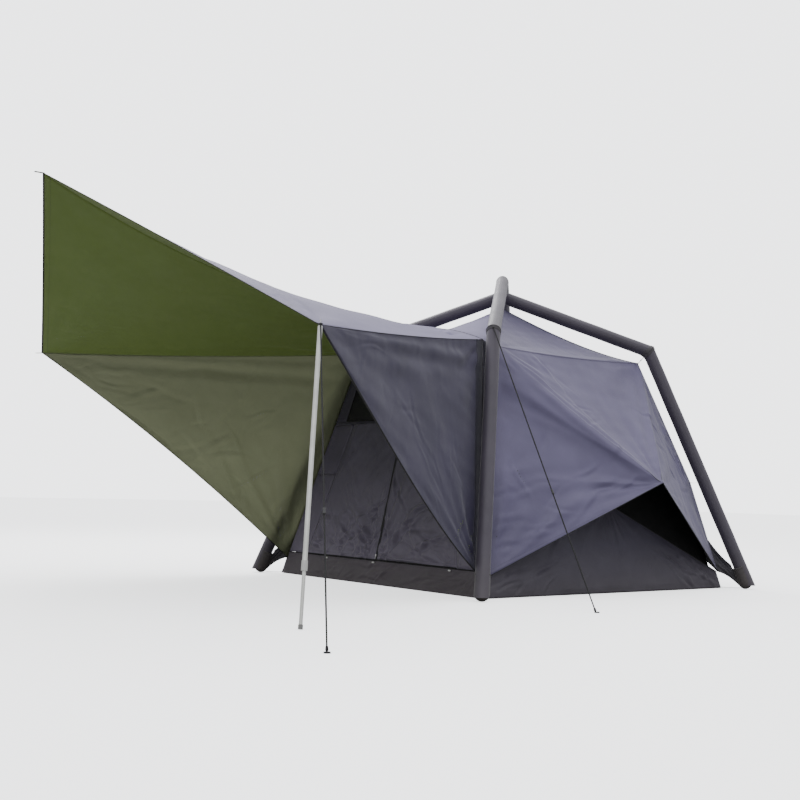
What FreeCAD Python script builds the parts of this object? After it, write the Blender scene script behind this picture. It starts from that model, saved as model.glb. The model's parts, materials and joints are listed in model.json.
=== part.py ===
import FreeCAD, Part
import math
import os

# Crossed air-beam tent with a front awning, in millimetres.
# Origin on the ground under the apex, +Z up, door and awning towards -Y, +X to the right of the door.

# ---- driving dimensions: air beams ----
FOOT = 1386.0          # beam foot, from the centre along X and along Y
KNEE = 834.0           # beam knee, likewise
KNEE_Z = 1858.0
CROSSING_Z = 2352.0    # midway between the two beams where they cross
CROSSING_RISE = 59.0   # each beam's axis from that mid height
TUBE_R = 50.0
SLEEVE_WALL = 1.0
BLADDER_GAP = 0.6
BLADDER_WALL = 0.8
BAND_GAP = 0.3
BAND_WALL = 1.2
BAND_REACH = 38.0      # knee band, each way from the mitre
BOOT_WALL = 2.4
BOOT_REACH = 170.0
BOOT_FLOOR = 5.0
SECTION_GAP = 0.2      # between two sleeve sections at a mitre
TRIM = 700.0           # size of a trimming block

# ---- driving dimensions: tent body ----
BASE = 1250.0          # half side of the floor
WAIST = 1070.0         # half side where the waist straps pull the corners out
WAIST_Z = 820.0
EAVE = 775.0
EAVE_Z = 1761.0
ROOF_Z = 2200.0
FABRIC = 1.5
SEAM_INSET = 3.0       # a panel's edge stands this far inside the seam line
FLOOR_THICKNESS = 3.0
FLOOR_CLEAR = 14.0     # floor edge inside the foot of the walls
WALL_START_Z = 4.0

# ---- driving dimensions: front wall and door ----
FRONT_EAVE_X = 750.0
FRONT_EAVE_Y = -860.0
FRONT_EAVE_Z = 1800.0
GABLE_INSET = 6.0          # gable panel's edges from the eave and the roof
SKIRT_Z = 175.0
DOOR_BOTTOM_Z = 183.0
DOOR_TOP_Z = 1215.0
DOOR_BOTTOM_X = 930.0
DOOR_TOP_X = 640.0
WINDOW_BOTTOM_Z = 1240.0
WINDOW_TOP_Z = 1600.0
WINDOW_BOTTOM_X = 760.0
WINDOW_TOP_X = 690.0
PANEL_GAP = 0.3        # half the gap between panels in one plane
LEAF_GAP = 3.0         # door leaf to its surround
ZIP_WIDTH = 12.0
SLIDER = (11.0, 16.0, 4.0)       # width, length and height of the zip slider
PULLER = (4.0, 26.0, 1.5)        # width, length and thickness of its puller
PULLER_OVERLAP = 6.0
SLIDER_UP = 24.0                 # slider from the foot of the zip
ZIP_THICKNESS = 1.0
STANDOFF = 0.3         # between a sewn-on piece and its panel
TOGGLE_X = (-636.0, -21.0, 863.0)
TOGGLE_Z = 160.0
TOGGLE_R = 6.0
TOGGLE_LENGTH = 26.0

# ---- driving dimensions: vent hoods ----
HOOD_OUT = 1620.0      # hood peak from the centre
HOOD_Z = 800.0
HOOD_SIDE = 90.0          # hood peak along the wall from its middle
HOOD_START_Z = 130.0   # where the hood leaves the corner edges
INNER_PEAK_Z = 640.0
INNER_BEHIND = 6.0     # inner panel behind the wall line
MESH_BEHIND = 30.0
MESH_BOTTOM = (1190.0, 20.0)   # half width and height of the mesh's lower edge
MESH_TOP = (1000.0, 900.0)
MESH_THICKNESS = 0.8
PROP_Z = 600.0
PROP_PIVOT_OUT = 14.0  # pivot from the inner panel's face
PROP_LENGTH = 480.0
PROP_R = 3.4
PROP_EYE_R = 6.0
PROP_EYE_WIDTH = 6.0
PROP_PIN_R = 2.5
PROP_PIN_GAP = 0.1
PROP_TIP_R = 7.0
PROP_ROOT = 1.5            # how far the rod is let into its eye
CHEEK_GAP = 0.6
CHEEK = 3.0

# ---- driving dimensions: awning ----
POLE_CORNER = (1940.0, -3060.0, 1570.0)
FREE_CORNER = (-1900.0, -3100.0, 1700.0)
PEAK = (0.0, -3870.0, 2620.0)
AWNING_START_X = 1205.0  # where the side wall's lower end meets the front wall
AWNING_START_Z = 130.0
RIDGE = ((-860.0, 1938.0), (-1740.0, 2003.0), (-2360.0, 2113.0))   # y and z along the sagging ridge
BINDING_R = 2.4
BINDING_SHORT = 34.0
TAB_WIDTH = 40.0
TAB_START = 9.0
TAB_LENGTH = 50.0
TAB_THICKNESS = 1.6
GROMMET_OUT = 34.0     # eyelet centre from the fabric corner
GROMMET_R = 6.0
GROMMET_BARREL = 1.0
GROMMET_FLANGE_R = 11.0
GROMMET_FLANGE = 0.7
GROMMET_GAP = 0.1
TAB_DIRECTIONS = {"pole": (0.86, -0.51), "free": (-0.86, -0.51), "peak": (0.0, -1.0)}

# ---- driving dimensions: pole ----
POLE_FOOT = (2158.0, -3267.0)
UPPER_R = 13.0
UPPER_WALL = 1.2
UPPER_START = 12.0     # tube top below the eyelet
LOWER_R = 9.5
LOWER_WALL = 1.2
LOWER_SHOWN = 290.0
LOWER_LENGTH = 890.0
SPIGOT_R = 4.0
SPIGOT_ABOVE = 26.0
SPIGOT_PLUG = 30.0
COLLAR_R = 16.5
COLLAR_LENGTH = 52.0
COLLAR_LIP = 9.0
SLIDE_GAP = 0.2
POLE_SHOE_R = 12.5
POLE_SHOE_LENGTH = 24.0

# ---- driving dimensions: lines, straps and valves ----
CORD_R = 1.5
GUY_R = 2.6
CORD_LOOP_R = 13.0
KNEE_GUY_END = (2200.0, -1184.0)
POLE_GUY_END = (2930.0, -3630.0)
GUY_END_Z = 4.0
RUNNER = (16.0, 9.0, 34.0)
RUNNER_BORE_R = 3.1
KNEE_RUNNER_SHARE = 0.62
POLE_RUNNER_SHARE = 0.62
STRAP_WIDTH = 20.0
STRAP_THICKNESS = 1.5
STRAP_CLEAR = 3.0
STRAP_START = 6.0      # strap end from the corner edge, along X and along Y
BASE_STRAP_Z = 8.0
FOOT_STRAP_ON_WALL = (370.0, 130.0)   # upper and lower edge of the wide foot strap at the tent
FOOT_STRAP_ON_BEAM = (30.0, 180.0)    # lower and upper edge at the beam
HANGER_START = 7.0     # cord end from the eave corner
APEX_CORD_START = 6.0
APEX_CORD_END = 12.0   # cord end below the lower beam
APEX_TOGGLE_UP = 18.0
HANGER_STOP = 1.35     # cord end from the knee, in outer radii of the band
HANGER_TOGGLE_R = 4.5
HANGER_TOGGLE_LENGTH = 24.0
VALVE_Z = 420.0
VALVE_R = 16.0
VALVE_BORE_R = 9.0
VALVE_FROM = 45.0
VALVE_TO = 58.0
CAP_R = 17.0
CAP_THICKNESS = 4.0
CAP_PLUG_R = 8.0
CAP_PLUG_LENGTH = 6.0
CAP_HINGE = 20.0

Z = FreeCAD.Vector(0, 0, 1)
CORNERS = {"front_right": (1, -1), "back_right": (1, 1), "back_left": (-1, 1), "front_left": (-1, -1)}


def vec(*numbers):
    return FreeCAD.Vector(*numbers)


def unit(vector):
    return FreeCAD.Vector(vector).normalize()


def save(name, solids):
    """Writes one node: a single solid, or a group of separate solids."""
    shape = solids[0] if len(solids) == 1 else Part.makeCompound(solids)
    shape.exportStep(f"parts/{name}.step")


# ---- flat fabric ----
def inset_corners(corners, inset):
    """The corners of a convex polygon whose edges are moved inwards by inset."""
    normal = unit((corners[1] - corners[0]).cross(corners[2] - corners[0]))
    moved = []
    for i, corner in enumerate(corners):
        before = unit(corner - corners[i - 1])
        after = unit(corners[(i + 1) % len(corners)] - corner)
        inward_a = normal.cross(before)
        inward_b = normal.cross(after)
        moved.append(corner + (inward_a + inward_b) * (inset / (1 + inward_a.dot(inward_b))))
    return moved, normal


def panel(corners, thickness=FABRIC, inset=SEAM_INSET, lift=0.0):
    """A flat panel: corners run anticlockwise seen from outside, and the thickness goes inwards."""
    moved, normal = inset_corners(corners, inset)
    moved = [corner + normal * lift for corner in moved]
    face = Part.Face(Part.makePolygon(moved + [moved[0]]))
    return face.extrude(normal * -thickness)


# ---- air beams ----
def beam_path(corner, rise):
    sx, sy = corner
    foot = vec(sx * FOOT, sy * FOOT, 0)
    knee = vec(sx * KNEE, sy * KNEE, KNEE_Z)
    far_knee = vec(-knee.x, -knee.y, KNEE_Z)
    far_foot = vec(-foot.x, -foot.y, 0)
    return [foot, knee, vec(0, 0, CROSSING_Z + rise), far_knee, far_foot]


def rod(start, end, radius, extra=0.0):
    axis = unit(end - start)
    return Part.makeCylinder(radius, (end - start).Length + 2 * extra, start - axis * extra, axis)


def pipe(start, end, outer, inner, extra=0.0):
    return rod(start, end, outer, extra).cut(rod(start, end, inner, extra + 1))


def trimmed(shape, point, direction):
    """Cuts away what lies beyond the plane through point, on the side that direction points to."""
    return shape.cut(Part.makeCylinder(TRIM, TRIM, point, direction))


def mitre(path, i):
    """The mitre plane's normal at a bend, and straight down at a foot."""
    if i in (0, len(path) - 1):
        return Z if i == 0 else -Z
    return unit(unit(path[i] - path[i - 1]) + unit(path[i + 1] - path[i]))


def beam_sections(path, outer, inner, gap, foot_z):
    """One straight tube between each pair of bends, trimmed at the mitre planes and above the boot floor."""
    sections = []
    for i in range(len(path) - 1):
        tube = pipe(path[i], path[i + 1], outer, inner, extra=2 * TUBE_R)
        for end, outward in ((i, -1), (i + 1, 1)):
            normal = mitre(path, end)
            at_foot = end in (0, len(path) - 1)
            lift = Z * foot_z if at_foot else normal * (-outward * gap / 2)
            tube = trimmed(tube, path[end] + lift, normal * outward)
        sections.append(tube)
    return sections


def joined(solids):
    whole = solids[0].fuse(solids[1:])
    return whole.removeSplitter().Solids[0]


def knee_band(path, i):
    inner = TUBE_R + BAND_GAP
    outer = inner + BAND_WALL
    before = path[i] + unit(path[i - 1] - path[i]) * BAND_REACH
    after = path[i] + unit(path[i + 1] - path[i]) * BAND_REACH
    normal = mitre(path, i)
    lower = pipe(before, path[i] + (path[i] - before) * 2, outer, inner)
    upper = pipe(path[i] + (path[i] - after) * 2, after, outer, inner)
    return joined([trimmed(lower, path[i], normal), trimmed(upper, path[i], -normal)])


def boot(foot, knee):
    """A cup under the beam's foot: a sleeve round the leg with a flat floor on the ground."""
    axis = unit(knee - foot)
    inner = TUBE_R + BAND_GAP
    leg = rod(foot - axis * TUBE_R, foot + axis * BOOT_REACH, inner + BOOT_WALL)
    hollow = rod(foot - axis * TUBE_R, foot + axis * (BOOT_REACH + 1), inner)
    hollow = trimmed(hollow, foot + Z * BOOT_FLOOR, -Z)
    return trimmed(leg, foot, -Z).cut(hollow)


# ---- inflation valves ----
def valve_frame(corner):
    """The leg's axis point at valve height, the outward direction square to the leg, and up along the leg."""
    sx, sy = corner
    foot = vec(sx * FOOT, sy * FOOT, 0)
    along = unit(vec(sx * KNEE, sy * KNEE, KNEE_Z) - foot)
    outward = vec(sx, sy, 0)
    outward = unit(outward - along * outward.dot(along))
    return foot + along * (VALVE_Z / along.z), outward, along


def valve_hole(corner, radius):
    centre, outward, _ = valve_frame(corner)
    return Part.makeCylinder(radius, TUBE_R, centre + outward * (TUBE_R - 10), outward)


def valve_body(corner):
    centre, outward, _ = valve_frame(corner)
    length = VALVE_TO - VALVE_FROM
    shell = Part.makeCylinder(VALVE_R, length, centre + outward * VALVE_FROM, outward)
    return shell.cut(Part.makeCylinder(VALVE_BORE_R, length + 2, centre + outward * (VALVE_FROM - 1), outward))


def valve_cap(corner):
    """Cap with its plug in the valve's mouth and a hinge ear above it."""
    centre, outward, along = valve_frame(corner)
    base = centre + outward * (VALVE_TO + STANDOFF)
    disc = Part.makeCylinder(CAP_R, CAP_THICKNESS, base, outward)
    plug = Part.makeCylinder(CAP_PLUG_R, CAP_PLUG_LENGTH + 1, base - outward * CAP_PLUG_LENGTH, outward)
    side = along.cross(outward)
    hinge = base + outward * (CAP_THICKNESS / 2) + along * CAP_HINGE
    ear = Part.makeCylinder(CAP_THICKNESS / 2, CAP_R, hinge - side * (CAP_R / 2), side)
    web_size = (CAP_R, CAP_HINGE - CAP_R / 2, CAP_THICKNESS)
    web = Part.makeBox(*web_size)
    web.Placement = frame_placement(
        base + along * (CAP_R / 2) - side * (CAP_R / 2), side, along, outward
    )
    return joined([disc, plug, ear, web])


def frame_placement(origin, x_axis, y_axis, z_axis):
    matrix = FreeCAD.Matrix(
        x_axis.x, y_axis.x, z_axis.x, origin.x,
        x_axis.y, y_axis.y, z_axis.y, origin.y,
        x_axis.z, y_axis.z, z_axis.z, origin.z,
        0, 0, 0, 1,
    )
    return FreeCAD.Placement(matrix)


def write_beams():
    layouts = {
        "over_beam": (CORNERS["front_right"], CROSSING_RISE, CORNERS["back_left"]),
        "under_beam": (CORNERS["back_right"], -CROSSING_RISE, CORNERS["front_left"]),
    }
    bands = []
    boots = []
    valves = []
    for name, (corner, rise, valve_corner) in layouts.items():
        path = beam_path(corner, rise)
        foot_z = BOOT_FLOOR + 1
        hole = valve_hole(valve_corner, VALVE_R + STANDOFF)
        sleeve = beam_sections(path, TUBE_R, TUBE_R - SLEEVE_WALL, SECTION_GAP, foot_z)
        save(f"{name}_sleeve", [section.cut(hole) for section in sleeve])
        skin = TUBE_R - SLEEVE_WALL - BLADDER_GAP
        bladder = joined(beam_sections(path, skin, skin - BLADDER_WALL, 0.0, foot_z + 1))
        save(f"{name}_bladder", [bladder.cut(hole)])
        save(f"{name}_valve_cap", [valve_cap(valve_corner)])
        valves.append(valve_body(valve_corner))
        bands += [knee_band(path, 1), knee_band(path, 3)]
        boots += [boot(path[0], path[1]), boot(path[4], path[3])]
    save("knee_seam_bands", bands)
    save("beam_boots", boots)
    save("valve_bodies", valves)


# ---- side and back walls with their vent hoods, drawn on the +X side and turned into place ----
def corner_half(z):
    """Half side of the body at height z, along the corner edges."""
    if z <= WAIST_Z:
        return BASE - (BASE - WAIST) * z / WAIST_Z
    return WAIST - (WAIST - EAVE) * (z - WAIST_Z) / (EAVE_Z - WAIST_Z)


def lower_wall_point(y, z, behind):
    """A point of the flat lower wall, a given distance behind the wall line."""
    return vec(BASE - (BASE - WAIST) * z / WAIST_Z - behind, y, z)


def hood_sheet():
    """The wall above and beside the vent: five flat panels meeting at the hood's peak."""
    peak = vec(HOOD_OUT, HOOD_SIDE, HOOD_Z)
    start = corner_half(HOOD_START_Z)
    edge = [(EAVE, EAVE_Z), (WAIST, WAIST_Z), (start, HOOD_START_Z)]
    front = [vec(half, -half, z) for half, z in edge]
    back = [vec(half, half, z) for half, z in edge]
    panels = [panel([back[0], front[0], peak])]
    for upper, lower in ((0, 1), (1, 2)):
        panels.append(panel([front[upper], front[lower], peak]))
        panels.append(panel([back[lower], back[upper], peak]))
    return panels


def inner_panel():
    start = corner_half(HOOD_START_Z) - 2 * INNER_BEHIND
    foot = BASE - 2 * INNER_BEHIND
    points = [(-foot, WALL_START_Z), (foot, WALL_START_Z), (start, HOOD_START_Z), (HOOD_SIDE, INNER_PEAK_Z)]
    points.append((-start, HOOD_START_Z))
    return panel([lower_wall_point(y, z, INNER_BEHIND) for y, z in points], inset=PANEL_GAP)


def vent_mesh():
    half_low, low = MESH_BOTTOM
    half_high, high = MESH_TOP
    points = [(-half_low, low), (half_low, low), (half_high, high), (-half_high, high)]
    corners = [lower_wall_point(y, z, MESH_BEHIND) for y, z in points]
    return panel(corners, MESH_THICKNESS, PANEL_GAP)


def prop_frame():
    """Pivot of the hood prop, and the wall's outward and up-slope directions there."""
    slope = unit(vec(-(BASE - WAIST), 0, WAIST_Z))
    outward = unit(vec(slope.z, 0, -slope.x))
    on_face = lower_wall_point(HOOD_SIDE, PROP_Z, INNER_BEHIND)
    return on_face, outward, slope


def prop_bracket():
    on_face, outward, slope = prop_frame()
    side = vec(0, 1, 0)
    gap = PROP_EYE_WIDTH / 2 + CHEEK_GAP
    half = gap + CHEEK
    plate = Part.makeBox(CHEEK, 4 * half, 4 * half, vec(STANDOFF, -2 * half, -2 * half))
    reach = PROP_PIVOT_OUT + PROP_EYE_R
    cheeks = [
        Part.makeBox(reach - CHEEK, CHEEK, 2 * PROP_EYE_R, vec(CHEEK, y, -PROP_EYE_R)) for y in (gap, -half)
    ]
    pin = Part.makeCylinder(PROP_PIN_R, 2 * half, vec(PROP_PIVOT_OUT, -half, 0), vec(0, 1, 0))
    bracket = joined([plate, *cheeks, pin])
    bracket.Placement = frame_placement(on_face, outward, side, slope)
    return bracket


def hood_prop():
    """Prop rod from the bracket's pin to just inside the hood's peak."""
    on_face, outward, _ = prop_frame()
    pivot = on_face + outward * PROP_PIVOT_OUT
    towards = unit(vec(HOOD_OUT, HOOD_SIDE, HOOD_Z) - pivot)
    eye_start = pivot - vec(0, PROP_EYE_WIDTH / 2, 0)
    eye = Part.makeCylinder(PROP_EYE_R, PROP_EYE_WIDTH, eye_start, vec(0, 1, 0))
    shaft = rod(pivot + towards * (PROP_EYE_R - PROP_ROOT), pivot + towards * PROP_LENGTH, PROP_R)
    tip = Part.makeSphere(PROP_TIP_R, pivot + towards * PROP_LENGTH)
    whole = joined([eye, shaft, tip])
    across = vec(0, PROP_EYE_WIDTH, 0)
    return whole.cut(rod(pivot - across, pivot + across, PROP_PIN_R + PROP_PIN_GAP))


def turned(shape, degrees):
    copy = shape.copy()
    copy.rotate(vec(0, 0, 0), Z, degrees)
    return copy


def write_vented_walls():
    brackets = []
    for side, degrees in (("right", 0), ("back", 90), ("left", 180)):
        save(f"{side}_wall", [turned(shape, degrees) for shape in hood_sheet()])
        save(f"{side}_inner_panel", [turned(inner_panel(), degrees)])
        save(f"{side}_vent_mesh", [turned(vent_mesh(), degrees)])
        save(f"{side}_hood_prop", [turned(hood_prop(), degrees)])
        brackets.append(turned(prop_bracket(), degrees))
    save("prop_brackets", brackets)


# ---- front wall, door and skirt ----
def front_half(z):
    """Half width of the front wall at height z."""
    if z <= WAIST_Z:
        return BASE - (BASE - WAIST) * z / WAIST_Z
    return WAIST - (WAIST - FRONT_EAVE_X) * (z - WAIST_Z) / (FRONT_EAVE_Z - WAIST_Z)


def front_point(x, z):
    return vec(x, -BASE + (BASE + FRONT_EAVE_Y) * z / FRONT_EAVE_Z, z)


def front_panel(points, **options):
    options.setdefault("inset", PANEL_GAP)
    return panel([front_point(x, z) for x, z in points], **options)


def mirrored(points):
    return [(-x, z) for x, z in reversed(points)]


def door_edge(z):
    share = (z - DOOR_BOTTOM_Z) / (DOOR_TOP_Z - DOOR_BOTTOM_Z)
    return DOOR_BOTTOM_X + (DOOR_TOP_X - DOOR_BOTTOM_X) * share


def front_normal():
    return unit(vec(0, -FRONT_EAVE_Z, BASE + FRONT_EAVE_Y))


def gable():
    """Upright triangle between the front eave and the low end of the ridge."""
    eaves = [vec(sx * FRONT_EAVE_X, FRONT_EAVE_Y, FRONT_EAVE_Z) for sx in (-1, 1)]
    return panel([*eaves, vec(0, *RIDGE[0])], inset=GABLE_INSET)


def corner_gusset(sx):
    """Narrow panel between the front wall's edge and the side wall's edge."""
    waist = vec(sx * WAIST, -WAIST, WAIST_Z)
    eave = vec(sx * EAVE, -EAVE, EAVE_Z)
    front = vec(sx * FRONT_EAVE_X, FRONT_EAVE_Y, FRONT_EAVE_Z)
    corners = [waist, eave, front]
    return panel(corners if sx > 0 else corners[::-1])


def write_front():
    beside_door = [
        (door_edge(DOOR_BOTTOM_Z) + LEAF_GAP, DOOR_BOTTOM_Z - LEAF_GAP),
        (front_half(DOOR_BOTTOM_Z) - SEAM_INSET, DOOR_BOTTOM_Z - LEAF_GAP),
        (front_half(WAIST_Z) - SEAM_INSET, WAIST_Z),
        (front_half(DOOR_TOP_Z) - SEAM_INSET, DOOR_TOP_Z + LEAF_GAP),
        (door_edge(DOOR_TOP_Z) + LEAF_GAP, DOOR_TOP_Z + LEAF_GAP),
    ]
    sill = [
        (-front_half(DOOR_TOP_Z) + SEAM_INSET, DOOR_TOP_Z + LEAF_GAP),
        (front_half(DOOR_TOP_Z) - SEAM_INSET, DOOR_TOP_Z + LEAF_GAP),
        (front_half(WINDOW_BOTTOM_Z) - SEAM_INSET, WINDOW_BOTTOM_Z),
        (-front_half(WINDOW_BOTTOM_Z) + SEAM_INSET, WINDOW_BOTTOM_Z),
    ]
    beside_window = [
        (WINDOW_BOTTOM_X, WINDOW_BOTTOM_Z),
        (front_half(WINDOW_BOTTOM_Z) - SEAM_INSET, WINDOW_BOTTOM_Z),
        (front_half(WINDOW_TOP_Z) - SEAM_INSET, WINDOW_TOP_Z),
        (WINDOW_TOP_X, WINDOW_TOP_Z),
    ]
    header = [
        (-front_half(WINDOW_TOP_Z) + SEAM_INSET, WINDOW_TOP_Z),
        (front_half(WINDOW_TOP_Z) - SEAM_INSET, WINDOW_TOP_Z),
        (FRONT_EAVE_X - 2 * SEAM_INSET, FRONT_EAVE_Z - SEAM_INSET),
        (-FRONT_EAVE_X + 2 * SEAM_INSET, FRONT_EAVE_Z - SEAM_INSET),
    ]
    outlines = [beside_door, mirrored(beside_door), sill, beside_window, mirrored(beside_window), header]
    save("front_wall", [front_panel(outline) for outline in outlines] + [gable()])
    save("front_corner_gussets", [corner_gusset(1), corner_gusset(-1)])

    window = [
        (-WINDOW_BOTTOM_X, WINDOW_BOTTOM_Z),
        (WINDOW_BOTTOM_X, WINDOW_BOTTOM_Z),
        (WINDOW_TOP_X, WINDOW_TOP_Z),
        (-WINDOW_TOP_X, WINDOW_TOP_Z),
    ]
    save("window_mesh", [front_panel(window, thickness=MESH_THICKNESS, inset=2 * PANEL_GAP)])

    skirt_start = front_half(WALL_START_Z) - SEAM_INSET
    skirt_end = front_half(SKIRT_Z) - SEAM_INSET
    skirt = [(-skirt_start, WALL_START_Z), (skirt_start, WALL_START_Z), (skirt_end, SKIRT_Z), (-skirt_end, SKIRT_Z)]
    save("front_skirt", [front_panel(skirt)])

    right_leaf = [
        (LEAF_GAP / 2, DOOR_BOTTOM_Z),
        (door_edge(DOOR_BOTTOM_Z), DOOR_BOTTOM_Z),
        (door_edge(DOOR_TOP_Z), DOOR_TOP_Z),
        (LEAF_GAP / 2, DOOR_TOP_Z),
    ]
    right_tape = [
        (LEAF_GAP / 2, DOOR_BOTTOM_Z),
        (LEAF_GAP / 2 + ZIP_WIDTH, DOOR_BOTTOM_Z),
        (LEAF_GAP / 2 + ZIP_WIDTH, DOOR_TOP_Z),
        (LEAF_GAP / 2, DOOR_TOP_Z),
    ]
    raised = STANDOFF + ZIP_THICKNESS
    for side, flip in (("right", list), ("left", mirrored)):
        save(f"door_leaf_{side}", [front_panel(flip(right_leaf))])
        save(f"door_zip_tape_{side}", [front_panel(flip(right_tape), thickness=ZIP_THICKNESS, lift=raised)])
    save("door_zip_slider", [zip_slider()])
    save("door_toggles", [door_toggle(x) for x in TOGGLE_X])


def front_frame(x, z, lift):
    """Placement on the front wall's outer face: X across, Y up the slope, Z outwards."""
    normal = front_normal()
    across = vec(1, 0, 0)
    return frame_placement(front_point(x, z) + normal * lift, across, normal.cross(across), normal)


def zip_slider():
    """Slider body and hanging puller, on the left leaf's tape at the foot of the zip."""
    width, length, height = SLIDER
    body = Part.makeBox(width, length, height, vec(-width, 0, 0))
    across, hang, thickness = PULLER
    top = vec(-(width + across) / 2, PULLER_OVERLAP - hang, height - thickness)
    slider = joined([body, Part.makeBox(across, hang, thickness, top)])
    slider.Placement = front_frame(-LEAF_GAP / 2 - 1, DOOR_BOTTOM_Z + SLIDER_UP, ZIP_THICKNESS + 2 * STANDOFF)
    return slider


def door_toggle(x):
    """White barrel toggle lying on the skirt just under the door's lower edge."""
    straight = TOGGLE_LENGTH - 2 * TOGGLE_R
    start = vec(-straight / 2, 0, TOGGLE_R)
    barrel = Part.makeCylinder(TOGGLE_R, straight, start, vec(1, 0, 0))
    ends = [Part.makeSphere(TOGGLE_R, start), Part.makeSphere(TOGGLE_R, start + vec(straight, 0, 0))]
    toggle = joined([barrel, *ends])
    toggle.Placement = front_frame(x, TOGGLE_Z, STANDOFF)
    return toggle


# ---- roof and floor ----
def write_roof_and_floor():
    apex = vec(0, 0, ROOF_Z)
    right = vec(EAVE, -EAVE, EAVE_Z)
    for side, degrees in (("right", 0), ("back", 90), ("left", 180)):
        triangle = panel([right, vec(EAVE, EAVE, EAVE_Z), apex])
        save(f"roof_{side}", [turned(triangle, degrees)])
    ridge_y, ridge_z = RIDGE[0]
    middle = vec(0, ridge_y, ridge_z)
    front_panels = []
    for sx in (1, -1):
        front = vec(sx * FRONT_EAVE_X, FRONT_EAVE_Y, FRONT_EAVE_Z)
        side = vec(sx * EAVE, -EAVE, EAVE_Z)
        for corners in ([middle, front, apex], [front, side, apex]):
            front_panels.append(panel(corners if sx > 0 else corners[::-1]))
    save("roof_front", front_panels)
    half = BASE - FLOOR_CLEAR
    save("groundsheet", [Part.makeBox(2 * half, 2 * half, FLOOR_THICKNESS, vec(-half, -half, 0))])


# ---- awning ----
def awning_half(sx, corner):
    """Four flat panels that follow the sagging ridge from the eave to the front peak."""
    ridge = [vec(0, y, z) for y, z in RIDGE]
    peak = vec(*PEAK)
    eave = vec(sx * FRONT_EAVE_X, FRONT_EAVE_Y, FRONT_EAVE_Z)
    triangles = [
        [ridge[0], ridge[1], eave],
        [ridge[1], ridge[2], eave],
        [ridge[2], corner, eave],
        [ridge[2], peak, corner],
    ]
    return [panel(corners if sx > 0 else corners[::-1]) for corners in triangles]


def awning_wall(sx, corner):
    """Side wall from a line on the front wall, just inside its edge, out to the awning's corner."""
    eave = vec(sx * FRONT_EAVE_X, FRONT_EAVE_Y, FRONT_EAVE_Z)
    corners = [eave, corner, awning_start(sx)]
    return [panel(corners if sx > 0 else corners[::-1])]


def awning_start(sx):
    """Lower end of the line where the awning's side wall joins the front wall."""
    return front_point(sx * AWNING_START_X, AWNING_START_Z)


def edge_cord(start, end):
    along = unit(end - start)
    return rod(start + along * BINDING_SHORT, end - along * BINDING_SHORT, BINDING_R)


def tab_frame(corner, direction):
    out = unit(vec(*direction, 0))
    return frame_placement(corner, out, Z.cross(out), Z)


def corner_tab(corner, direction):
    tab = Part.makeBox(TAB_LENGTH, TAB_WIDTH, TAB_THICKNESS, vec(TAB_START, -TAB_WIDTH / 2, -TAB_THICKNESS / 2))
    hole_r = GROMMET_R + GROMMET_BARREL + GROMMET_GAP
    tab = tab.cut(Part.makeCylinder(hole_r, 2 * TAB_WIDTH, vec(GROMMET_OUT, 0, -TAB_WIDTH)))
    tab.Placement = tab_frame(corner, direction)
    return tab


def grommet(corner, direction):
    """Eyelet: a barrel through the tab with a flange on each face."""
    flange_from = TAB_THICKNESS / 2 + GROMMET_GAP
    height = 2 * (flange_from + GROMMET_FLANGE)
    centre = vec(GROMMET_OUT, 0, -height / 2)
    barrel = Part.makeCylinder(GROMMET_R + GROMMET_BARREL, height, centre)
    flanges = [
        Part.makeCylinder(GROMMET_FLANGE_R, GROMMET_FLANGE, centre),
        Part.makeCylinder(GROMMET_FLANGE_R, GROMMET_FLANGE, vec(GROMMET_OUT, 0, flange_from)),
    ]
    eyelet = joined([barrel, *flanges])
    eyelet = eyelet.cut(Part.makeCylinder(GROMMET_R, height + 2, centre - Z))
    eyelet.Placement = tab_frame(corner, direction)
    return eyelet


def write_awning():
    pole_corner = vec(*POLE_CORNER)
    free_corner = vec(*FREE_CORNER)
    peak = vec(*PEAK)
    for side, sx, corner in (("right", 1, pole_corner), ("left", -1, free_corner)):
        save(f"awning_roof_{side}", awning_half(sx, corner))
        save(f"awning_wall_{side}", awning_wall(sx, corner))
        cords = [edge_cord(peak, corner), edge_cord(corner, awning_start(sx))]
        save(f"awning_binding_{side}", cords)
    corners = {"pole": pole_corner, "free": free_corner, "peak": peak}
    save("awning_corner_tabs", [corner_tab(corners[name], out) for name, out in TAB_DIRECTIONS.items()])
    save("awning_eyelets", [grommet(corners[name], out) for name, out in TAB_DIRECTIONS.items()])


# ---- pole, built downwards from the eyelet and then placed ----
def pole_top():
    out = unit(vec(*TAB_DIRECTIONS["pole"], 0))
    return vec(*POLE_CORNER) + out * GROMMET_OUT


def pole_placement():
    top = pole_top()
    down = unit(vec(*POLE_FOOT, 0) - top)
    side = unit(Z.cross(down))
    return frame_placement(top, side, side.cross(down), down * -1)


def pole_reach():
    """Length from the eyelet to the shoe's end, so that the tilted shoe just touches the ground."""
    top = pole_top()
    down = unit(vec(*POLE_FOOT, 0) - top)
    tilt = math.acos(-down.z)
    return (top.z - POLE_SHOE_R * math.sin(tilt)) / math.cos(tilt)


def upright(radius, low, high):
    return Part.makeCylinder(radius, high - low, vec(0, 0, low))


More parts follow.
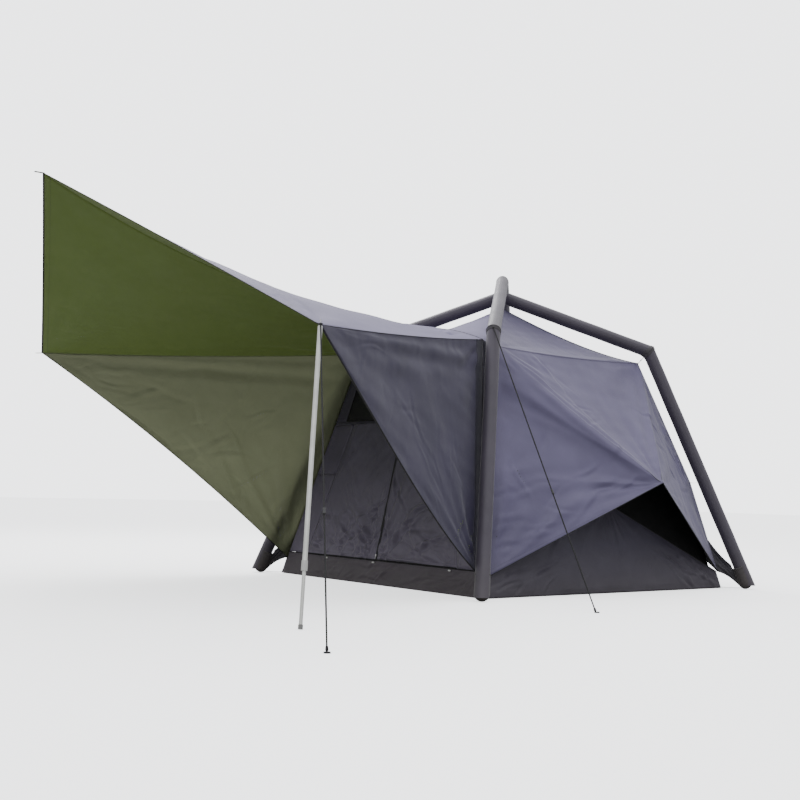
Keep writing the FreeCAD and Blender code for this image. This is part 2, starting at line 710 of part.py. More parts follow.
def write_pole():
    end = -pole_reach()
    collar_end = end + LOWER_SHOWN
    upper_end = collar_end + COLLAR_LIP + SLIDE_GAP
    upper = upright(UPPER_R, upper_end, -UPPER_START).cut(upright(UPPER_R - UPPER_WALL, upper_end - 1, 0))
    lower_low = end + POLE_SHOE_LENGTH / 4
    lower_high = lower_low + LOWER_LENGTH
    lower = upright(LOWER_R, lower_low, lower_high)
    lower = lower.cut(upright(LOWER_R - LOWER_WALL, lower_low - 1, lower_high + 1))
    plug_r = UPPER_R - UPPER_WALL - SLIDE_GAP
    plug = upright(plug_r, -UPPER_START - SPIGOT_PLUG, -UPPER_START)
    spigot = joined([plug, upright(SPIGOT_R, -UPPER_START - 1, SPIGOT_ABOVE)])
    collar = upright(COLLAR_R, collar_end, collar_end + COLLAR_LENGTH)
    collar = collar.cut(upright(UPPER_R + SLIDE_GAP, collar_end + COLLAR_LIP, collar_end + COLLAR_LENGTH + 1))
    collar = collar.cut(upright(LOWER_R + SLIDE_GAP, collar_end - 1, collar_end + COLLAR_LENGTH))
    shoe = upright(POLE_SHOE_R, end, end + POLE_SHOE_LENGTH)
    shoe = shoe.cut(upright(LOWER_R + SLIDE_GAP, lower_low - SLIDE_GAP, end + POLE_SHOE_LENGTH + 1))
    pieces = {
        "pole_upper_tube": upper,
        "pole_spigot": spigot,
        "pole_lower_tube": lower,
        "pole_twist_lock": collar,
        "pole_shoe": shoe,
    }
    for name, piece in pieces.items():
        piece.Placement = pole_placement()
        save(name, [piece])


# ---- guy lines with their runners ----
def guy_line(start, end):
    """Cord from the tent to a flat loop on the ground."""
    loop = Part.makeTorus(CORD_LOOP_R, GUY_R, end, Z)
    flat = unit(vec(end.x - start.x, end.y - start.y, 0))
    return joined([rod(start, end - flat * CORD_LOOP_R, GUY_R), loop])


def runner(start, end, share):
    """Flat runner with the cord through it lengthwise."""
    tail = end - unit(vec(end.x - start.x, end.y - start.y, 0)) * CORD_LOOP_R
    along = unit(tail - start)
    side = unit(Z.cross(along))
    width, thickness, length = RUNNER
    body = Part.makeBox(width, thickness, length, vec(-width / 2, -thickness / 2, -length / 2))
    body = body.cut(Part.makeCylinder(RUNNER_BORE_R, 2 * length, vec(0, 0, -length)))
    body.Placement = frame_placement(start + (tail - start) * share, side, along.cross(side), along)
    return body


def knee_guy_ends():
    """From the front of the knee band, square to the leg, to the ground."""
    knee = vec(KNEE, -KNEE, KNEE_Z)
    leg = unit(vec(FOOT, -FOOT, 0) - knee)
    outward = vec(1, -1, 0)
    outward = unit(outward - leg * outward.dot(leg))
    reach = TUBE_R + BAND_GAP + BAND_WALL + STRAP_CLEAR
    return knee + outward * reach, vec(*KNEE_GUY_END, GUY_END_Z)


def pole_guy_ends():
    """From the outer end of the pole corner's tab to the ground."""
    out = unit(vec(*TAB_DIRECTIONS["pole"], 0))
    start = vec(*POLE_CORNER) + out * (TAB_START + TAB_LENGTH + STRAP_CLEAR)
    return start, vec(*POLE_GUY_END, GUY_END_Z)


def write_lines():
    for name, (start, end), share in (
        ("knee_guy", knee_guy_ends(), KNEE_RUNNER_SHARE),
        ("pole_guy", pole_guy_ends(), POLE_RUNNER_SHARE),
    ):
        save(f"{name}_line", [guy_line(start, end)])
        save(f"{name}_runner", [runner(start, end, share)])


# ---- what hangs the body inside the beams ----
def diagonal(q, z):
    """A point in the vertical plane through the back right corner, q along X and along Y."""
    return vec(q, q, z)


def leg_inner_face(z, radius):
    """The beam's inner side at height z, as a distance along X and along Y."""
    lean = math.atan2((FOOT - KNEE) * math.sqrt(2), KNEE_Z)
    centre = FOOT - (FOOT - KNEE) * z / KNEE_Z
    return centre - radius / math.cos(lean) / math.sqrt(2)


def flat_strap(q_from, q_to, z):
    length = (q_to - q_from) * math.sqrt(2)
    strap = Part.makeBox(length, STRAP_WIDTH, STRAP_THICKNESS, vec(0, -STRAP_WIDTH / 2, 0))
    strap.rotate(vec(0, 0, 0), Z, 45)
    strap.translate(diagonal(q_from, z))
    return strap


def foot_strap():
    """Wide band from the corner edge down to the beam's boot, standing in the diagonal plane."""
    boot_r = TUBE_R + BAND_GAP + BOOT_WALL
    wall_high, wall_low = FOOT_STRAP_ON_WALL
    beam_low, beam_high = FOOT_STRAP_ON_BEAM
    outline = [
        diagonal(corner_half(wall_high) + STRAP_START, wall_high),
        diagonal(corner_half(wall_low) + STRAP_START, wall_low),
        diagonal(leg_inner_face(beam_low, boot_r) - STRAP_CLEAR, beam_low),
        diagonal(leg_inner_face(beam_high, boot_r) - STRAP_CLEAR, beam_high),
    ]
    return panel(outline, thickness=STRAP_THICKNESS, inset=0.5)


def hanger():
    """Cord and toggle between the eave corner and the knee."""
    start = diagonal(EAVE, EAVE_Z)
    knee = diagonal(KNEE, KNEE_Z)
    along = unit(knee - start)
    reach = (knee - start).Length - (TUBE_R + BAND_GAP + BAND_WALL) * HANGER_STOP
    cord = rod(start + along * HANGER_START, start + along * reach, CORD_R)
    middle = start + along * (reach / 2)
    half = unit(vec(1, -1, 0)) * (HANGER_TOGGLE_LENGTH / 2)
    return joined([cord, rod(middle - half, middle + half, HANGER_TOGGLE_R)])


def write_hangers():
    quarter_turns = (0, 90, 180, 270)
    waist = flat_strap(WAIST + STRAP_START, leg_inner_face(WAIST_Z, TUBE_R) - STRAP_CLEAR, WAIST_Z)
    boot_r = TUBE_R + BAND_GAP + BOOT_WALL
    base = flat_strap(BASE + STRAP_START, leg_inner_face(BASE_STRAP_Z, boot_r) - STRAP_CLEAR, BASE_STRAP_Z)
    save("eave_hangers", [turned(hanger(), degrees) for degrees in quarter_turns])
    save("waist_straps", [turned(waist, degrees) for degrees in quarter_turns])
    save("foot_straps", [turned(foot_strap(), degrees) for degrees in quarter_turns])
    save("base_straps", [turned(base, degrees) for degrees in quarter_turns])
    beam_under = CROSSING_Z - CROSSING_RISE - TUBE_R
    cord = rod(vec(0, 0, ROOF_Z + APEX_CORD_START), vec(0, 0, beam_under - APEX_CORD_END), CORD_R)
    middle = vec(0, 0, ROOF_Z + APEX_TOGGLE_UP)
    half = vec(HANGER_TOGGLE_LENGTH / 2, 0, 0)
    toggle = rod(middle - half, middle + half, HANGER_TOGGLE_R)
    save("apex_hanger", [joined([cord, toggle])])


def main():
    os.makedirs("parts", exist_ok=True)
    write_beams()
    write_vented_walls()
    write_front()
    write_roof_and_floor()
    write_awning()
    write_pole()
    write_lines()
    write_hangers()


main()
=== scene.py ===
import json
import math

import bmesh
import bpy
import numpy as np
from mathutils import Matrix, Vector


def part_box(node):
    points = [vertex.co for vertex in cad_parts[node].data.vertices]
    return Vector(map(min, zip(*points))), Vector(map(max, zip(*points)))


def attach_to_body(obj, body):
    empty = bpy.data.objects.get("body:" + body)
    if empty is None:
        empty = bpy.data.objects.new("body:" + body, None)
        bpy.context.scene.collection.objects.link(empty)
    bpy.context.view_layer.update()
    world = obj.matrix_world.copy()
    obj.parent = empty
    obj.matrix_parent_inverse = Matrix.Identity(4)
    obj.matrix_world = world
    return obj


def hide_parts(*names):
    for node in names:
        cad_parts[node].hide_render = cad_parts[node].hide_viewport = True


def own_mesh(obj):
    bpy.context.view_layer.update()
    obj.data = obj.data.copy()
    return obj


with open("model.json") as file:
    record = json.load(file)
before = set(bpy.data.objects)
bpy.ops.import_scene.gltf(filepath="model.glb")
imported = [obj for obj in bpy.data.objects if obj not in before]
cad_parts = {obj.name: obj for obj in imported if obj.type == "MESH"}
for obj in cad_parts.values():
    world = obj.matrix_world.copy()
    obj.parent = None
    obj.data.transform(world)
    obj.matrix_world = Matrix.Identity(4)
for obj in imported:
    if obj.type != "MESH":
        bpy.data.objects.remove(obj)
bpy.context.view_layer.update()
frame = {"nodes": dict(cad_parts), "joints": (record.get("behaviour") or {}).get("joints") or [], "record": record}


# ---- reading the frame ----
def high(node, axis):
    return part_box(node)[1][axis]


def low(node, axis):
    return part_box(node)[0][axis]


def joint(name):
    return next(found for found in frame["joints"] if found["name"] == name)


def mount_place(name):
    return vec(*next(found for found in frame["record"]["mounts"] if found["name"] == name)["pos_m"])


def vec(*numbers):
    return np.array(numbers, float)


def unit(vector):
    vector = np.asarray(vector, float)
    return vector / np.linalg.norm(vector)


def to_cm(value):
    """Nearest centimetre. The CAD panels stop a few millimetres short of their seams, which lie on these."""
    return round(float(value), 2)


def to_mm(value):
    return round(float(value), 3)


# ---- sizes and places, in metres. The tent's front faces -Y. ----
UP = vec(0, 0, 1)
BESIDE = unit(vec(1, -1, 0))  # square to the diagonal of the first quarter
QUARTERS = (0, 90, 180, 270)
SIDES = (("right", 0), ("back", 90), ("left", 180))
FABRIC = 0.0015
NET = 0.0008

SEAM_INSET, APEX_INSET, BASE_INSET = 0.003, 0.002, 0.007
EAVE = high("roof_right", 0) + SEAM_INSET
EAVE_Z = low("roof_right", 2)
APEX = vec(0, 0, high("roof_right", 2) + APEX_INSET)
BASE = high("right_inner_panel", 0) + BASE_INSET
INNER_PEAK_Z = high("right_inner_panel", 2)
INNER_LOW_Z = to_mm(low("right_inner_panel", 2))
WALL_LEAN = (high("right_inner_panel", 0) - low("right_inner_panel", 0)) / (INNER_PEAK_Z - INNER_LOW_Z)
WAIST_Z = to_cm(low("waist_straps", 2))
WAIST = vec(to_cm(BASE - WALL_LEAN * WAIST_Z), 0, WAIST_Z)
PROP_TO_PEAK = 0.010
HOOD = vec(to_cm(high("right_wall", 0)), joint("hood_prop_right_fold")["pos_m"][1],
           to_cm(high("right_hood_prop", 2) + PROP_TO_PEAK))
HOOD_START_Z = to_cm(low("right_wall", 2))

FRONT_EAVE = vec(*(to_cm(side("awning_wall_right", axis)) for axis, side in enumerate((low, high, high))))
SKIRT_Z = to_mm(high("front_skirt", 2))
FRONT_WALL_Z = to_cm(low("front_wall", 2))
DOOR_GAP = 0.003
DOOR_HINGE = joint("door_right_swing")
DOOR_LOW = (DOOR_HINGE["pos_m"][0], DOOR_HINGE["pos_m"][2])
DOOR_TOP_Z = to_mm(high("door_leaf_right", 2))
DOOR_SLOPE = DOOR_HINGE["axis"][0] / DOOR_HINGE["axis"][2]
DOOR_HIGH = (to_mm(DOOR_LOW[0] + DOOR_SLOPE * (DOOR_TOP_Z - DOOR_LOW[1])), DOOR_TOP_Z)
FRONT_RUN_Y = BASE + FRONT_EAVE[1]
FRONT_NORMAL = unit(vec(0, -FRONT_EAVE[2], FRONT_RUN_Y))
WINDOW_TOP_HALF = 0.690
WINDOW_LOW = (to_cm(high("window_mesh", 0)), to_cm(low("window_mesh", 2)))
WINDOW_HIGH = (WINDOW_TOP_HALF, to_cm(high("window_mesh", 2)))

TAB_WAYS = (unit(vec(0.86, -0.51, 0)), unit(vec(-0.86, -0.51, 0)), vec(0, -1, 0))
EYELET_OUT, TAB_HOLE_R = 0.034, 0.0072
TAB_FROM, TAB_LENGTH, TAB_HALF, TAB_THICK = 0.009, 0.050, 0.0135, 0.0014
EYELETS = (vec(*joint("pole_swing")["pos_m"]), mount_place("free_corner_eyelet"), mount_place("peak_eyelet"))
POLE_CORNER, FREE_CORNER, PEAK = (
    np.round(place - way * EYELET_OUT, 3) for place, way in zip(EYELETS, TAB_WAYS)
)
RIDGE_START_Z = 1.938
RIDGE = ((FRONT_EAVE[1], RIDGE_START_Z), (-1.740, 2.003), (-2.360, 2.113), (PEAK[1], PEAK[2]))
AWNING_START = (1.205, to_cm(low("awning_wall_right", 2)))

TUBE_R = 0.050
FOOT = to_mm(high("over_beam_sleeve", 0) - TUBE_R)
KNEE = vec(0.834, 0, 1.858)
CROSSING_Z, CROSSING_RISE = 2.352, 0.059
BOOT_R = TUBE_R + 0.0022
KNEE_STANDOFF, GUY_STANDOFF, POLE_GUY_OUT = 0.060, 0.0545, 0.062
GUY_LOOP_R, GUY_CORD_R = 0.013, 0.0026

FRONT_RUN, EAVE_RUN, FAN_ROWS, ROOF_ROWS = (34, 40), 90, 110, 70
AWNING_STEPS, JOIN_STEPS = 130, 60
CALM = 0.05  # no folds this near a pulled corner
PHASES = 6.28  # range of the random phases, about a full turn


# ---- mesh helpers ----
def around(sides):
    """Angles of the points spaced evenly round a ring."""
    return [2 * math.pi * k / sides for k in range(sides)]


def ring_quads(rows, sides, looped=False):
    """Faces that join each ring of points to the next one."""
    faces = []
    for row in range(rows if looped else rows - 1):
        here, ahead = row * sides, (row + 1) % rows * sides
        for k in range(sides):
            beside = (k + 1) % sides
            faces.append([here + k, here + beside, ahead + beside, ahead + k])
    return faces


def ring_caps(rows, sides):
    """Faces that close the first and the last ring."""
    return [list(range(sides))[::-1], [(rows - 1) * sides + k for k in range(sides)]]


def add_mesh(name, vertices, faces, materials, indices=None, smooth=True, recalculate=False):
    mesh = bpy.data.meshes.new(name)
    mesh.from_pydata([tuple(v) for v in vertices], [], [tuple(int(i) for i in f) for f in faces])
    mesh.validate()
    for material in materials:
        mesh.materials.append(material)
    if indices is not None:
        mesh.polygons.foreach_set("material_index", np.asarray(indices, dtype=np.int32))
    mesh.polygons.foreach_set("use_smooth", [smooth] * len(mesh.polygons))
    mesh.update()
    if recalculate:
        turned = bmesh.new()
        turned.from_mesh(mesh)
        bmesh.ops.recalc_face_normals(turned, faces=turned.faces)
        turned.to_mesh(mesh)
        turned.free()
    piece = bpy.data.objects.new(name, mesh)
    bpy.context.scene.collection.objects.link(piece)
    return piece


def finish(piece, body, slot_name, *nodes):
    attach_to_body(piece, body)
    if nodes:
        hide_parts(*nodes)
    return piece


def grid_normals(points):
    """Normals of a grid of points. Where rows meet in one point, the mean of the next column stands in."""
    normals = np.cross(np.gradient(points, axis=0), np.gradient(points, axis=1))
    length = np.linalg.norm(normals, axis=2, keepdims=True)
    normals = normals / np.maximum(length, 1e-12)
    bad = length < 1e-10
    if bad.any():
        good = unit(normals[:, 1:2, :].mean(axis=0, keepdims=True).reshape(-1, 3).mean(axis=0))
        normals = np.where(bad, np.broadcast_to(good, normals.shape), normals)
    return normals


def sheet(name, points, outward, materials, thickness=FABRIC, apex=False):
    """A closed thin sheet over a grid of outer points. apex says that column 0 is a single point."""
    normals = grid_normals(points)
    if (normals.reshape(-1, 3) @ np.asarray(outward, float)).mean() < 0:
        points = points[::-1]
        normals = -normals[::-1]
    if apex:
        normals[:, 0] = unit(normals[:, 1].mean(axis=0))
    nu, nv = points.shape[:2]
    inner = points - normals * thickness
    number = np.arange(nu * nv).reshape(nu, nv)
    if apex:
        number[:, 0] = number[0, 0]
    shift = nu * nv
    grid = number[:, 1 if apex else 0:]
    quads = np.stack([grid[:-1, :-1], grid[1:, :-1], grid[1:, 1:], grid[:-1, 1:]], axis=-1)
    outer_faces = quads.reshape(-1, 4).tolist()
    edges = [np.stack([number[-1, :-1], number[-1, 1:]], axis=-1),
             np.stack([number[1:, -1], number[:-1, -1]], axis=-1),
             np.stack([number[0, 1:], number[0, :-1]], axis=-1)]
    if apex:
        outer_faces += np.stack([number[:-1, 0], number[1:, 1], number[:-1, 1]], axis=-1).tolist()
    else:
        edges.append(np.stack([number[:-1, 0], number[1:, 0]], axis=-1))
    inner_faces = [[q + shift for q in reversed(face)] for face in outer_faces]
    rim = [[b, a, a + shift, b + shift] for a, b in np.concatenate(edges).tolist()]
    indices = [0] * len(outer_faces) + [1] * len(inner_faces) + [0] * len(rim)
    vertices = np.concatenate([points.reshape(-1, 3), inner.reshape(-1, 3)])
    used = np.unique(np.concatenate([number.ravel(), number.ravel() + shift]))
    place = np.zeros(len(vertices), int)
    place[used] = np.arange(len(used))
    faces = [place[face].tolist() for face in outer_faces + inner_faces + rim]
    return add_mesh(name, vertices[used], faces, (materials * 2)[:2], indices)


def tube(name, path, radius, material, sides=8, closed=False, flat=1.0):
    """A round or flattened cord along a path. radius is one number, or one for each point."""
    path = np.asarray(path, float)
    count = len(path)
    radii = np.broadcast_to(radius, count)
    up = UP
    vertices = []
    for i, point in enumerate(path):
        ahead = path[(i + 1) % count] if closed or i + 1 < count else point
        behind = path[i - 1] if closed or i > 0 else point
        along = unit(ahead - behind)
        side = np.cross(along, up)
        if np.linalg.norm(side) < 1e-6:
            side = np.cross(along, vec(1, 0.3, 0.1))
        side = unit(side)
        up = unit(np.cross(side, along))
        r = radii[i]
        for angle in around(sides):
            vertices.append(point + side * (r * math.cos(angle)) + up * (r * flat * math.sin(angle)))
    faces = ring_quads(count, sides, closed)
    if not closed:
        faces += ring_caps(count, sides)
    return add_mesh(name, vertices, faces, [material])


def ribbon(name, path, up, width, thickness, material):
    """A flat strip along a path, lying on a surface that faces up."""
    vertices = []
    count = len(path)
    normal = unit(up)
    for i in range(count):
        along = unit(path[min(i + 1, count - 1)] - path[max(i - 1, 0)])
        side = unit(np.cross(along, normal))
        for across, rise in ((-1, 0), (1, 0), (1, 1), (-1, 1)):
            vertices.append(path[i] + side * across * width / 2 + normal * thickness * rise)
    return add_mesh(name, vertices, ring_quads(count, 4) + ring_caps(count, 4), [material], smooth=False)


def columns(at, known, values):
    """Each column of values, interpolated at the given places."""
    return np.stack([np.interp(at, known, values[:, k]) for k in range(values.shape[1])], axis=1)


def resample(path, step):
    """Points evenly spaced along a path, and where each one lies in the path's list."""
    length = np.concatenate([[0], np.cumsum(np.linalg.norm(np.diff(path, axis=0), axis=1))])
    count = max(2, int(length[-1] / step))
    at = np.linspace(0, length[-1], count + 1)
    return columns(at, length, path), np.interp(at, length, np.arange(len(path)))


STITCH_CORNERS = ((-1, -1, 0), (1, -1, 0), (1, 1, 0), (-1, 1, 0),
                  (-0.7, -0.6, 1), (0.7, -0.6, 1), (0.7, 0.6, 1), (-0.7, 0.6, 1))
CUBE = np.array([(3, 2, 1, 0), (4, 5, 6, 7), (0, 1, 5, 4), (1, 2, 6, 5), (2, 3, 7, 6), (3, 0, 4, 7)])


def stitches(name, path, up, slot_name, body="tent", pitch=0.0085, size=(0.0055, 0.0011, 0.0007)):
    """A row of short raised threads along a path on cloth. up is one direction, or one for each point."""
    points, share = resample(path, pitch)
    normals = np.broadcast_to(up, path.shape)
    up = columns(share, np.arange(len(normals)), normals)[:-1]
    up = up / np.linalg.norm(up, axis=1, keepdims=True)
    along = np.diff(points, axis=0)
    along /= np.linalg.norm(along, axis=1, keepdims=True)
    side = np.cross(up, along)
    middle = (points[:-1] + points[1:]) / 2
    corners = [middle + along * (a * size[0] / 2) + side * (b * size[1] / 2) + up * (c * size[2])
               for a, b, c in STITCH_CORNERS]
    vertices = np.stack(corners, axis=1).reshape(-1, 3)
    faces = (np.arange(len(middle))[:, None, None] * len(corners) + CUBE[None]).reshape(-1, 4)
    return finish(add_mesh(name, vertices, faces.tolist(), [THREAD], smooth=False), body, slot_name)


def binding(name, path, radius, *nodes, body="tent", sides=8, flat=1.0):
    """Bound edge of a panel."""
    return finish(tube(name, path, radius, BINDING, sides, flat=flat), body, "binding", *nodes)


# ---- cloth shapes ----
def turn(points, degrees):
    """Turns points about the tent's upright axis."""
    angle = math.radians(degrees)
    c, s = math.cos(angle), math.sin(angle)
    return points @ np.array([[c, -s, 0], [s, c, 0], [0, 0, 1]]).T


def lerp(a, b, t):
    t = np.asarray(t)[..., None]
    return np.asarray(a) * (1 - t) + np.asarray(b) * t


def polyline(corners, counts):
    """Points along straight legs, with a set number of steps on each."""
    points = [np.asarray(corners[0])]
    for a, b, n in zip(corners, corners[1:], counts):
        points += [a + (b - a) * (k + 1) / n for k in range(n)]
    return np.array(points)


def coons(bottom, top, left, right):
    """A surface between four edge curves: bottom and top run along u, left and right along v."""
    u = np.linspace(0, 1, len(bottom))[:, None, None]
    v = np.linspace(0, 1, len(left))[None, :, None]
    ruled_v = bottom[:, None] * (1 - v) + top[:, None] * v
    ruled_u = left[None, :] * (1 - u) + right[None, :] * u
    low_edge = bottom[0] * (1 - u) * (1 - v) + bottom[-1] * u * (1 - v)
    return ruled_v + ruled_u - (low_edge + top[0] * (1 - u) * v + top[-1] * u * v)


def fan(apex, rim, rows):
    t = np.linspace(0, 1, rows)
    return apex + (rim[:, None] - apex) * t[None, :, None]


def arch(t):
    """0 at both ends of a 0 to 1 run and 1 in its middle."""
    return 4 * t * (1 - t)


def noise(points, scale, seed):
    """Smooth field of about -1..1 made of a few tilted waves."""
    generator = np.random.default_rng(seed)
    total = np.zeros(points.shape[:-1])
    for _ in range(7):
        direction = unit(generator.normal(size=3)) * generator.uniform(0.6, 1.6) / scale
        phase = generator.uniform(0, PHASES)
        bend = 1.2 * np.sin(points @ direction[::-1] * 4.1)
        total += np.sin(points @ direction * PHASES + phase + bend)
    return total / 4.0


def ripples(points, normals, *waves):
    """Soft unevenness from waves, each a height, a scale and a seed."""
    return sum(height * noise(points, scale, seed) for height, scale, seed in waves)


def mean_normal(normals):
    return normals.reshape(-1, 3).mean(axis=0)


def pull_folds(points, normals, centre, count, height, reach, seed):
    """Folds that radiate from a pulled corner, strongest at reach and fading beyond it."""
    normal = unit(mean_normal(normals))
    away = points - centre
    flat = away - (away @ normal)[..., None] * normal
    x_axis = unit(flat.reshape(-1, 3).mean(axis=0))
    y_axis = np.cross(normal, x_axis)
    angle = np.arctan2(flat @ y_axis, flat @ x_axis)
    distance = np.linalg.norm(flat, axis=-1)
    share = distance / reach
    fade = share ** 1.5 * np.exp(1.5 * (1 - share)) * np.clip((distance - CALM) / reach * 2, 0, 1)
    phase = np.random.default_rng(seed).uniform(0, PHASES, 4)
    wander = 1.4 * np.sin(angle * count * 0.31 + phase[0])
    turn_by = angle * count + wander + 0.5 * np.sin(distance * 5 + phase[3])
    crest = 1 - 2 * np.sqrt(np.sin(turn_by * 0.5 + phase[1]) ** 2 + 0.015)
    uneven = 0.65 + 0.35 * np.sin(angle * count * 0.23 + phase[2])
    return height * fade * uneven * (0.4 * np.sin(turn_by * 1.7 + phase[2]) + 0.6 * crest)


def creases(points, normals, centre, aim, count, spread, length, width, height, seed, jitter=0.3):
    """Short sharp folds scattered round centre, each pointing roughly at aim."""
    generator = np.random.default_rng(seed)
    flat = points.reshape(-1, 3)
    up = normals.reshape(-1, 3)
    weight = np.exp(-(np.linalg.norm(flat - centre, axis=1) / spread) ** 2)
    total = np.zeros(len(flat))
    for index in generator.choice(len(flat), size=count, p=weight / weight.sum()):
        middle, normal = flat[index], up[index]
        along = unit(np.asarray(aim) - middle + 1e-6) + generator.normal(size=3) * jitter
        along = unit(along - normal * (along @ normal))
        across = np.cross(normal, along)
        half = length * generator.uniform(0.4, 1.0)
        wide = width * generator.uniform(0.6, 1.5)
        away = flat - middle
        t = away @ along / half
        s = (away @ across + 0.12 * half * np.sin(t * 1.7 + index)) / wide
        profile = np.exp(-s * s) - 0.6 * np.exp(-(s - 1.5) ** 2)
        total += height * generator.uniform(0.4, 1.0) * generator.choice((-1, 1)) * profile * np.exp(-t * t)
    return total.reshape(points.shape[:-1])


def beside_line(points, normals, start, end):
    """Share of the way along a line on the cloth, and the distance below it."""
    along = unit(end - start)
    sideways = unit(np.cross(unit(mean_normal(normals)), along))
    if sideways[2] > 0:
        sideways = -sideways
    away = points - start
    return (away @ along) / np.linalg.norm(end - start), away @ sideways


def sink_under(points, normals, start, end, outward, width, depth):
    """A crease along a line, with the cloth below it drawn in."""
    t, below = beside_line(points, normals, start, end)
    below = np.clip(below, 0, None) / width
    sign = np.sign(mean_normal(normals) @ outward)
    return -sign * depth * np.clip(arch(t), 0, 1) ** 0.45 * below * np.exp(1 - below)


def drag_lines(points, normals, start, end, width, height, count, seed):
    """Long folds side by side along a line of pull, fading at both ends."""
    t, offset = beside_line(points, normals, start, end)
    fade = np.clip(arch(t), 0, 1) ** 0.7 * np.exp(-((offset / width) ** 2))
    phase = np.random.default_rng(seed).uniform(0, PHASES)
    return height * fade * np.cos(offset / width * math.pi * count + phase)


def fold(function, *arguments):
    """One of the functions above, waiting for the points and normals. Its numbers come in the same order."""
    return lambda points, normals: function(points, normals, *arguments)


def settle(points, fields, hold_start=False, held=0.06):
    """Moves a grid along its normals by the sum of the fields, held still at the sewn edges."""
    normals = grid_normals(points)
    total = sum(field(points, normals) for field in fields)
    nu, nv = total.shape
    u = np.minimum(np.arange(nu), np.arange(nu)[::-1]) / (held * nu)
    v = np.arange(nv)[::-1] / (held * nv)
    if hold_start:
        v = np.minimum(v, v[::-1])
    total = total * np.clip(u, 0, 1)[:, None] * np.clip(v, 0, 1)[None, :]
    return points + normals * total[..., None]


# ---- materials ----
def node_adder(tree):
    def add(kind, output, inputs, **settings):
        """Adds a node and gives one output, or the node. An input given as a socket is linked."""
        node = tree.nodes.new("ShaderNode" + kind)
        for key, value in settings.items():
            setattr(node, key, value)
        for key, value in inputs.items():
            if isinstance(value, bpy.types.NodeSocket):
                tree.links.new(value, node.inputs[key])
            else:
                node.inputs[key].default_value = value
        return node.outputs[output] if output else node

    return add


def new_material(name):
    material = bpy.data.materials.new(name)
    material.use_nodes = True
    material.node_tree.nodes.clear()
    return material, node_adder(material.node_tree)


def span(add, value, first, last, start=0.0, end=1.0):
    """Maps start..end to first..last, and holds it there beyond them."""
    return add("MapRange", "Result", {"Value": value, "From Min": start, "From Max": end,
                                      "To Min": first, "To Max": last})


def two_tones(add, value, dark, pale, dark_until, pale_from):
    tones = add("ValToRGB", "Color", {"Fac": value})
    for element, colour, at in zip(tones.node.color_ramp.elements, (dark, pale), (dark_until, pale_from)):
        element.position = at
        element.color = (*colour, 1)
    return tones


def colour_mix(add, share, a, b, blend_type="MIX"):
    return add("Mix", "Result", {"Factor": share, "A": a, "B": b}, data_type="RGBA", blend_type=blend_type)


def square_grid(add, place, scale, line):
    """Threads of a square weave."""
    return add("TexBrick", "Fac", {"Vector": place, "Scale": scale, "Mortar Size": line, "Brick Width": 0.5,
                                   "Row Height": 0.5}, offset=0.0)


SOIL = (0.068, 0.058, 0.052)


def fabric(name, colour, shade, rough=0.55, through=0.0, through_colour=None, crinkle=0.25, sheen=0.15,
           dust=0.0, dust_and_light_top=0.35, dust_and_light_colour=SOIL, fall=None):
    """Coated cloth: fine weave and ripstop grid, tone mottled from shade to colour, and crinkles.

    through is the share of light let through. fall fades it along an axis: the axis, where the
    fading starts and ends, and the share left at the end. The three settings after sheen lay a
    colour from the ground up: its share at the ground, the height where it ends, and the colour.
    On most cloths it is soil dust; on the door cloth it is painted light, a paler lower part."""
    material, add = new_material(name)
    place = add("TexCoord", "Object", {})

    def noise_at(scale, detail=3.0, **settings):
        return add("TexNoise", "Fac", {"Vector": place, "Scale": scale, "Detail": detail}, **settings)

    tone = two_tones(add, noise_at(2.6, 5.0), shade, colour, 0.32, 0.72)
    tone = colour_mix(add, 0.35, tone, span(add, noise_at(260.0, 2.0), 0.75, 1.2), "MULTIPLY")
    parts = add("SeparateXYZ", None, {"Vector": place}).outputs
    if dust:
        # Colour laid from the ground up: soil dust on most cloths, painted light on the door cloth.
        tone = colour_mix(add, span(add, parts["Z"], dust, 0.0, end=dust_and_light_top), tone, (*dust_and_light_colour, 1))
    normal = None
    for height, strength, distance in (
        (noise_at(7.0, 6.0, noise_type="RIDGED_MULTIFRACTAL"), crinkle, 0.02),
        (noise_at(34.0), crinkle * 0.5, 0.004),
        (square_grid(add, place, 90.0, 0.03), 0.12, 0.0006),
        (noise_at(900.0, 1.0), 0.2, 0.0006),
    ):
        inputs = {"Height": height, "Strength": strength, "Distance": distance}
        if normal:
            inputs["Normal"] = normal
        normal = add("Bump", "Normal", inputs)
    shader = add("BsdfPrincipled", "BSDF", {
        "Base Color": tone, "Normal": normal, "Sheen Weight": sheen, "Sheen Roughness": 0.4,
        "Roughness": span(add, noise_at(9.0), rough - 0.08, rough + 0.12)})
    if through:
        if fall:
            axis, start, end, last = fall
            share = span(add, parts[axis], through, through * last, start, end)
        else:
            share = through
        glow = add("BsdfTranslucent", "BSDF", {"Color": (*(through_colour or colour), 1), "Normal": normal})
        shader = add("MixShader", "Shader", {"Fac": share, 1: shader, 2: glow})
    add("OutputMaterial", None, {"Surface": shader})
    return material


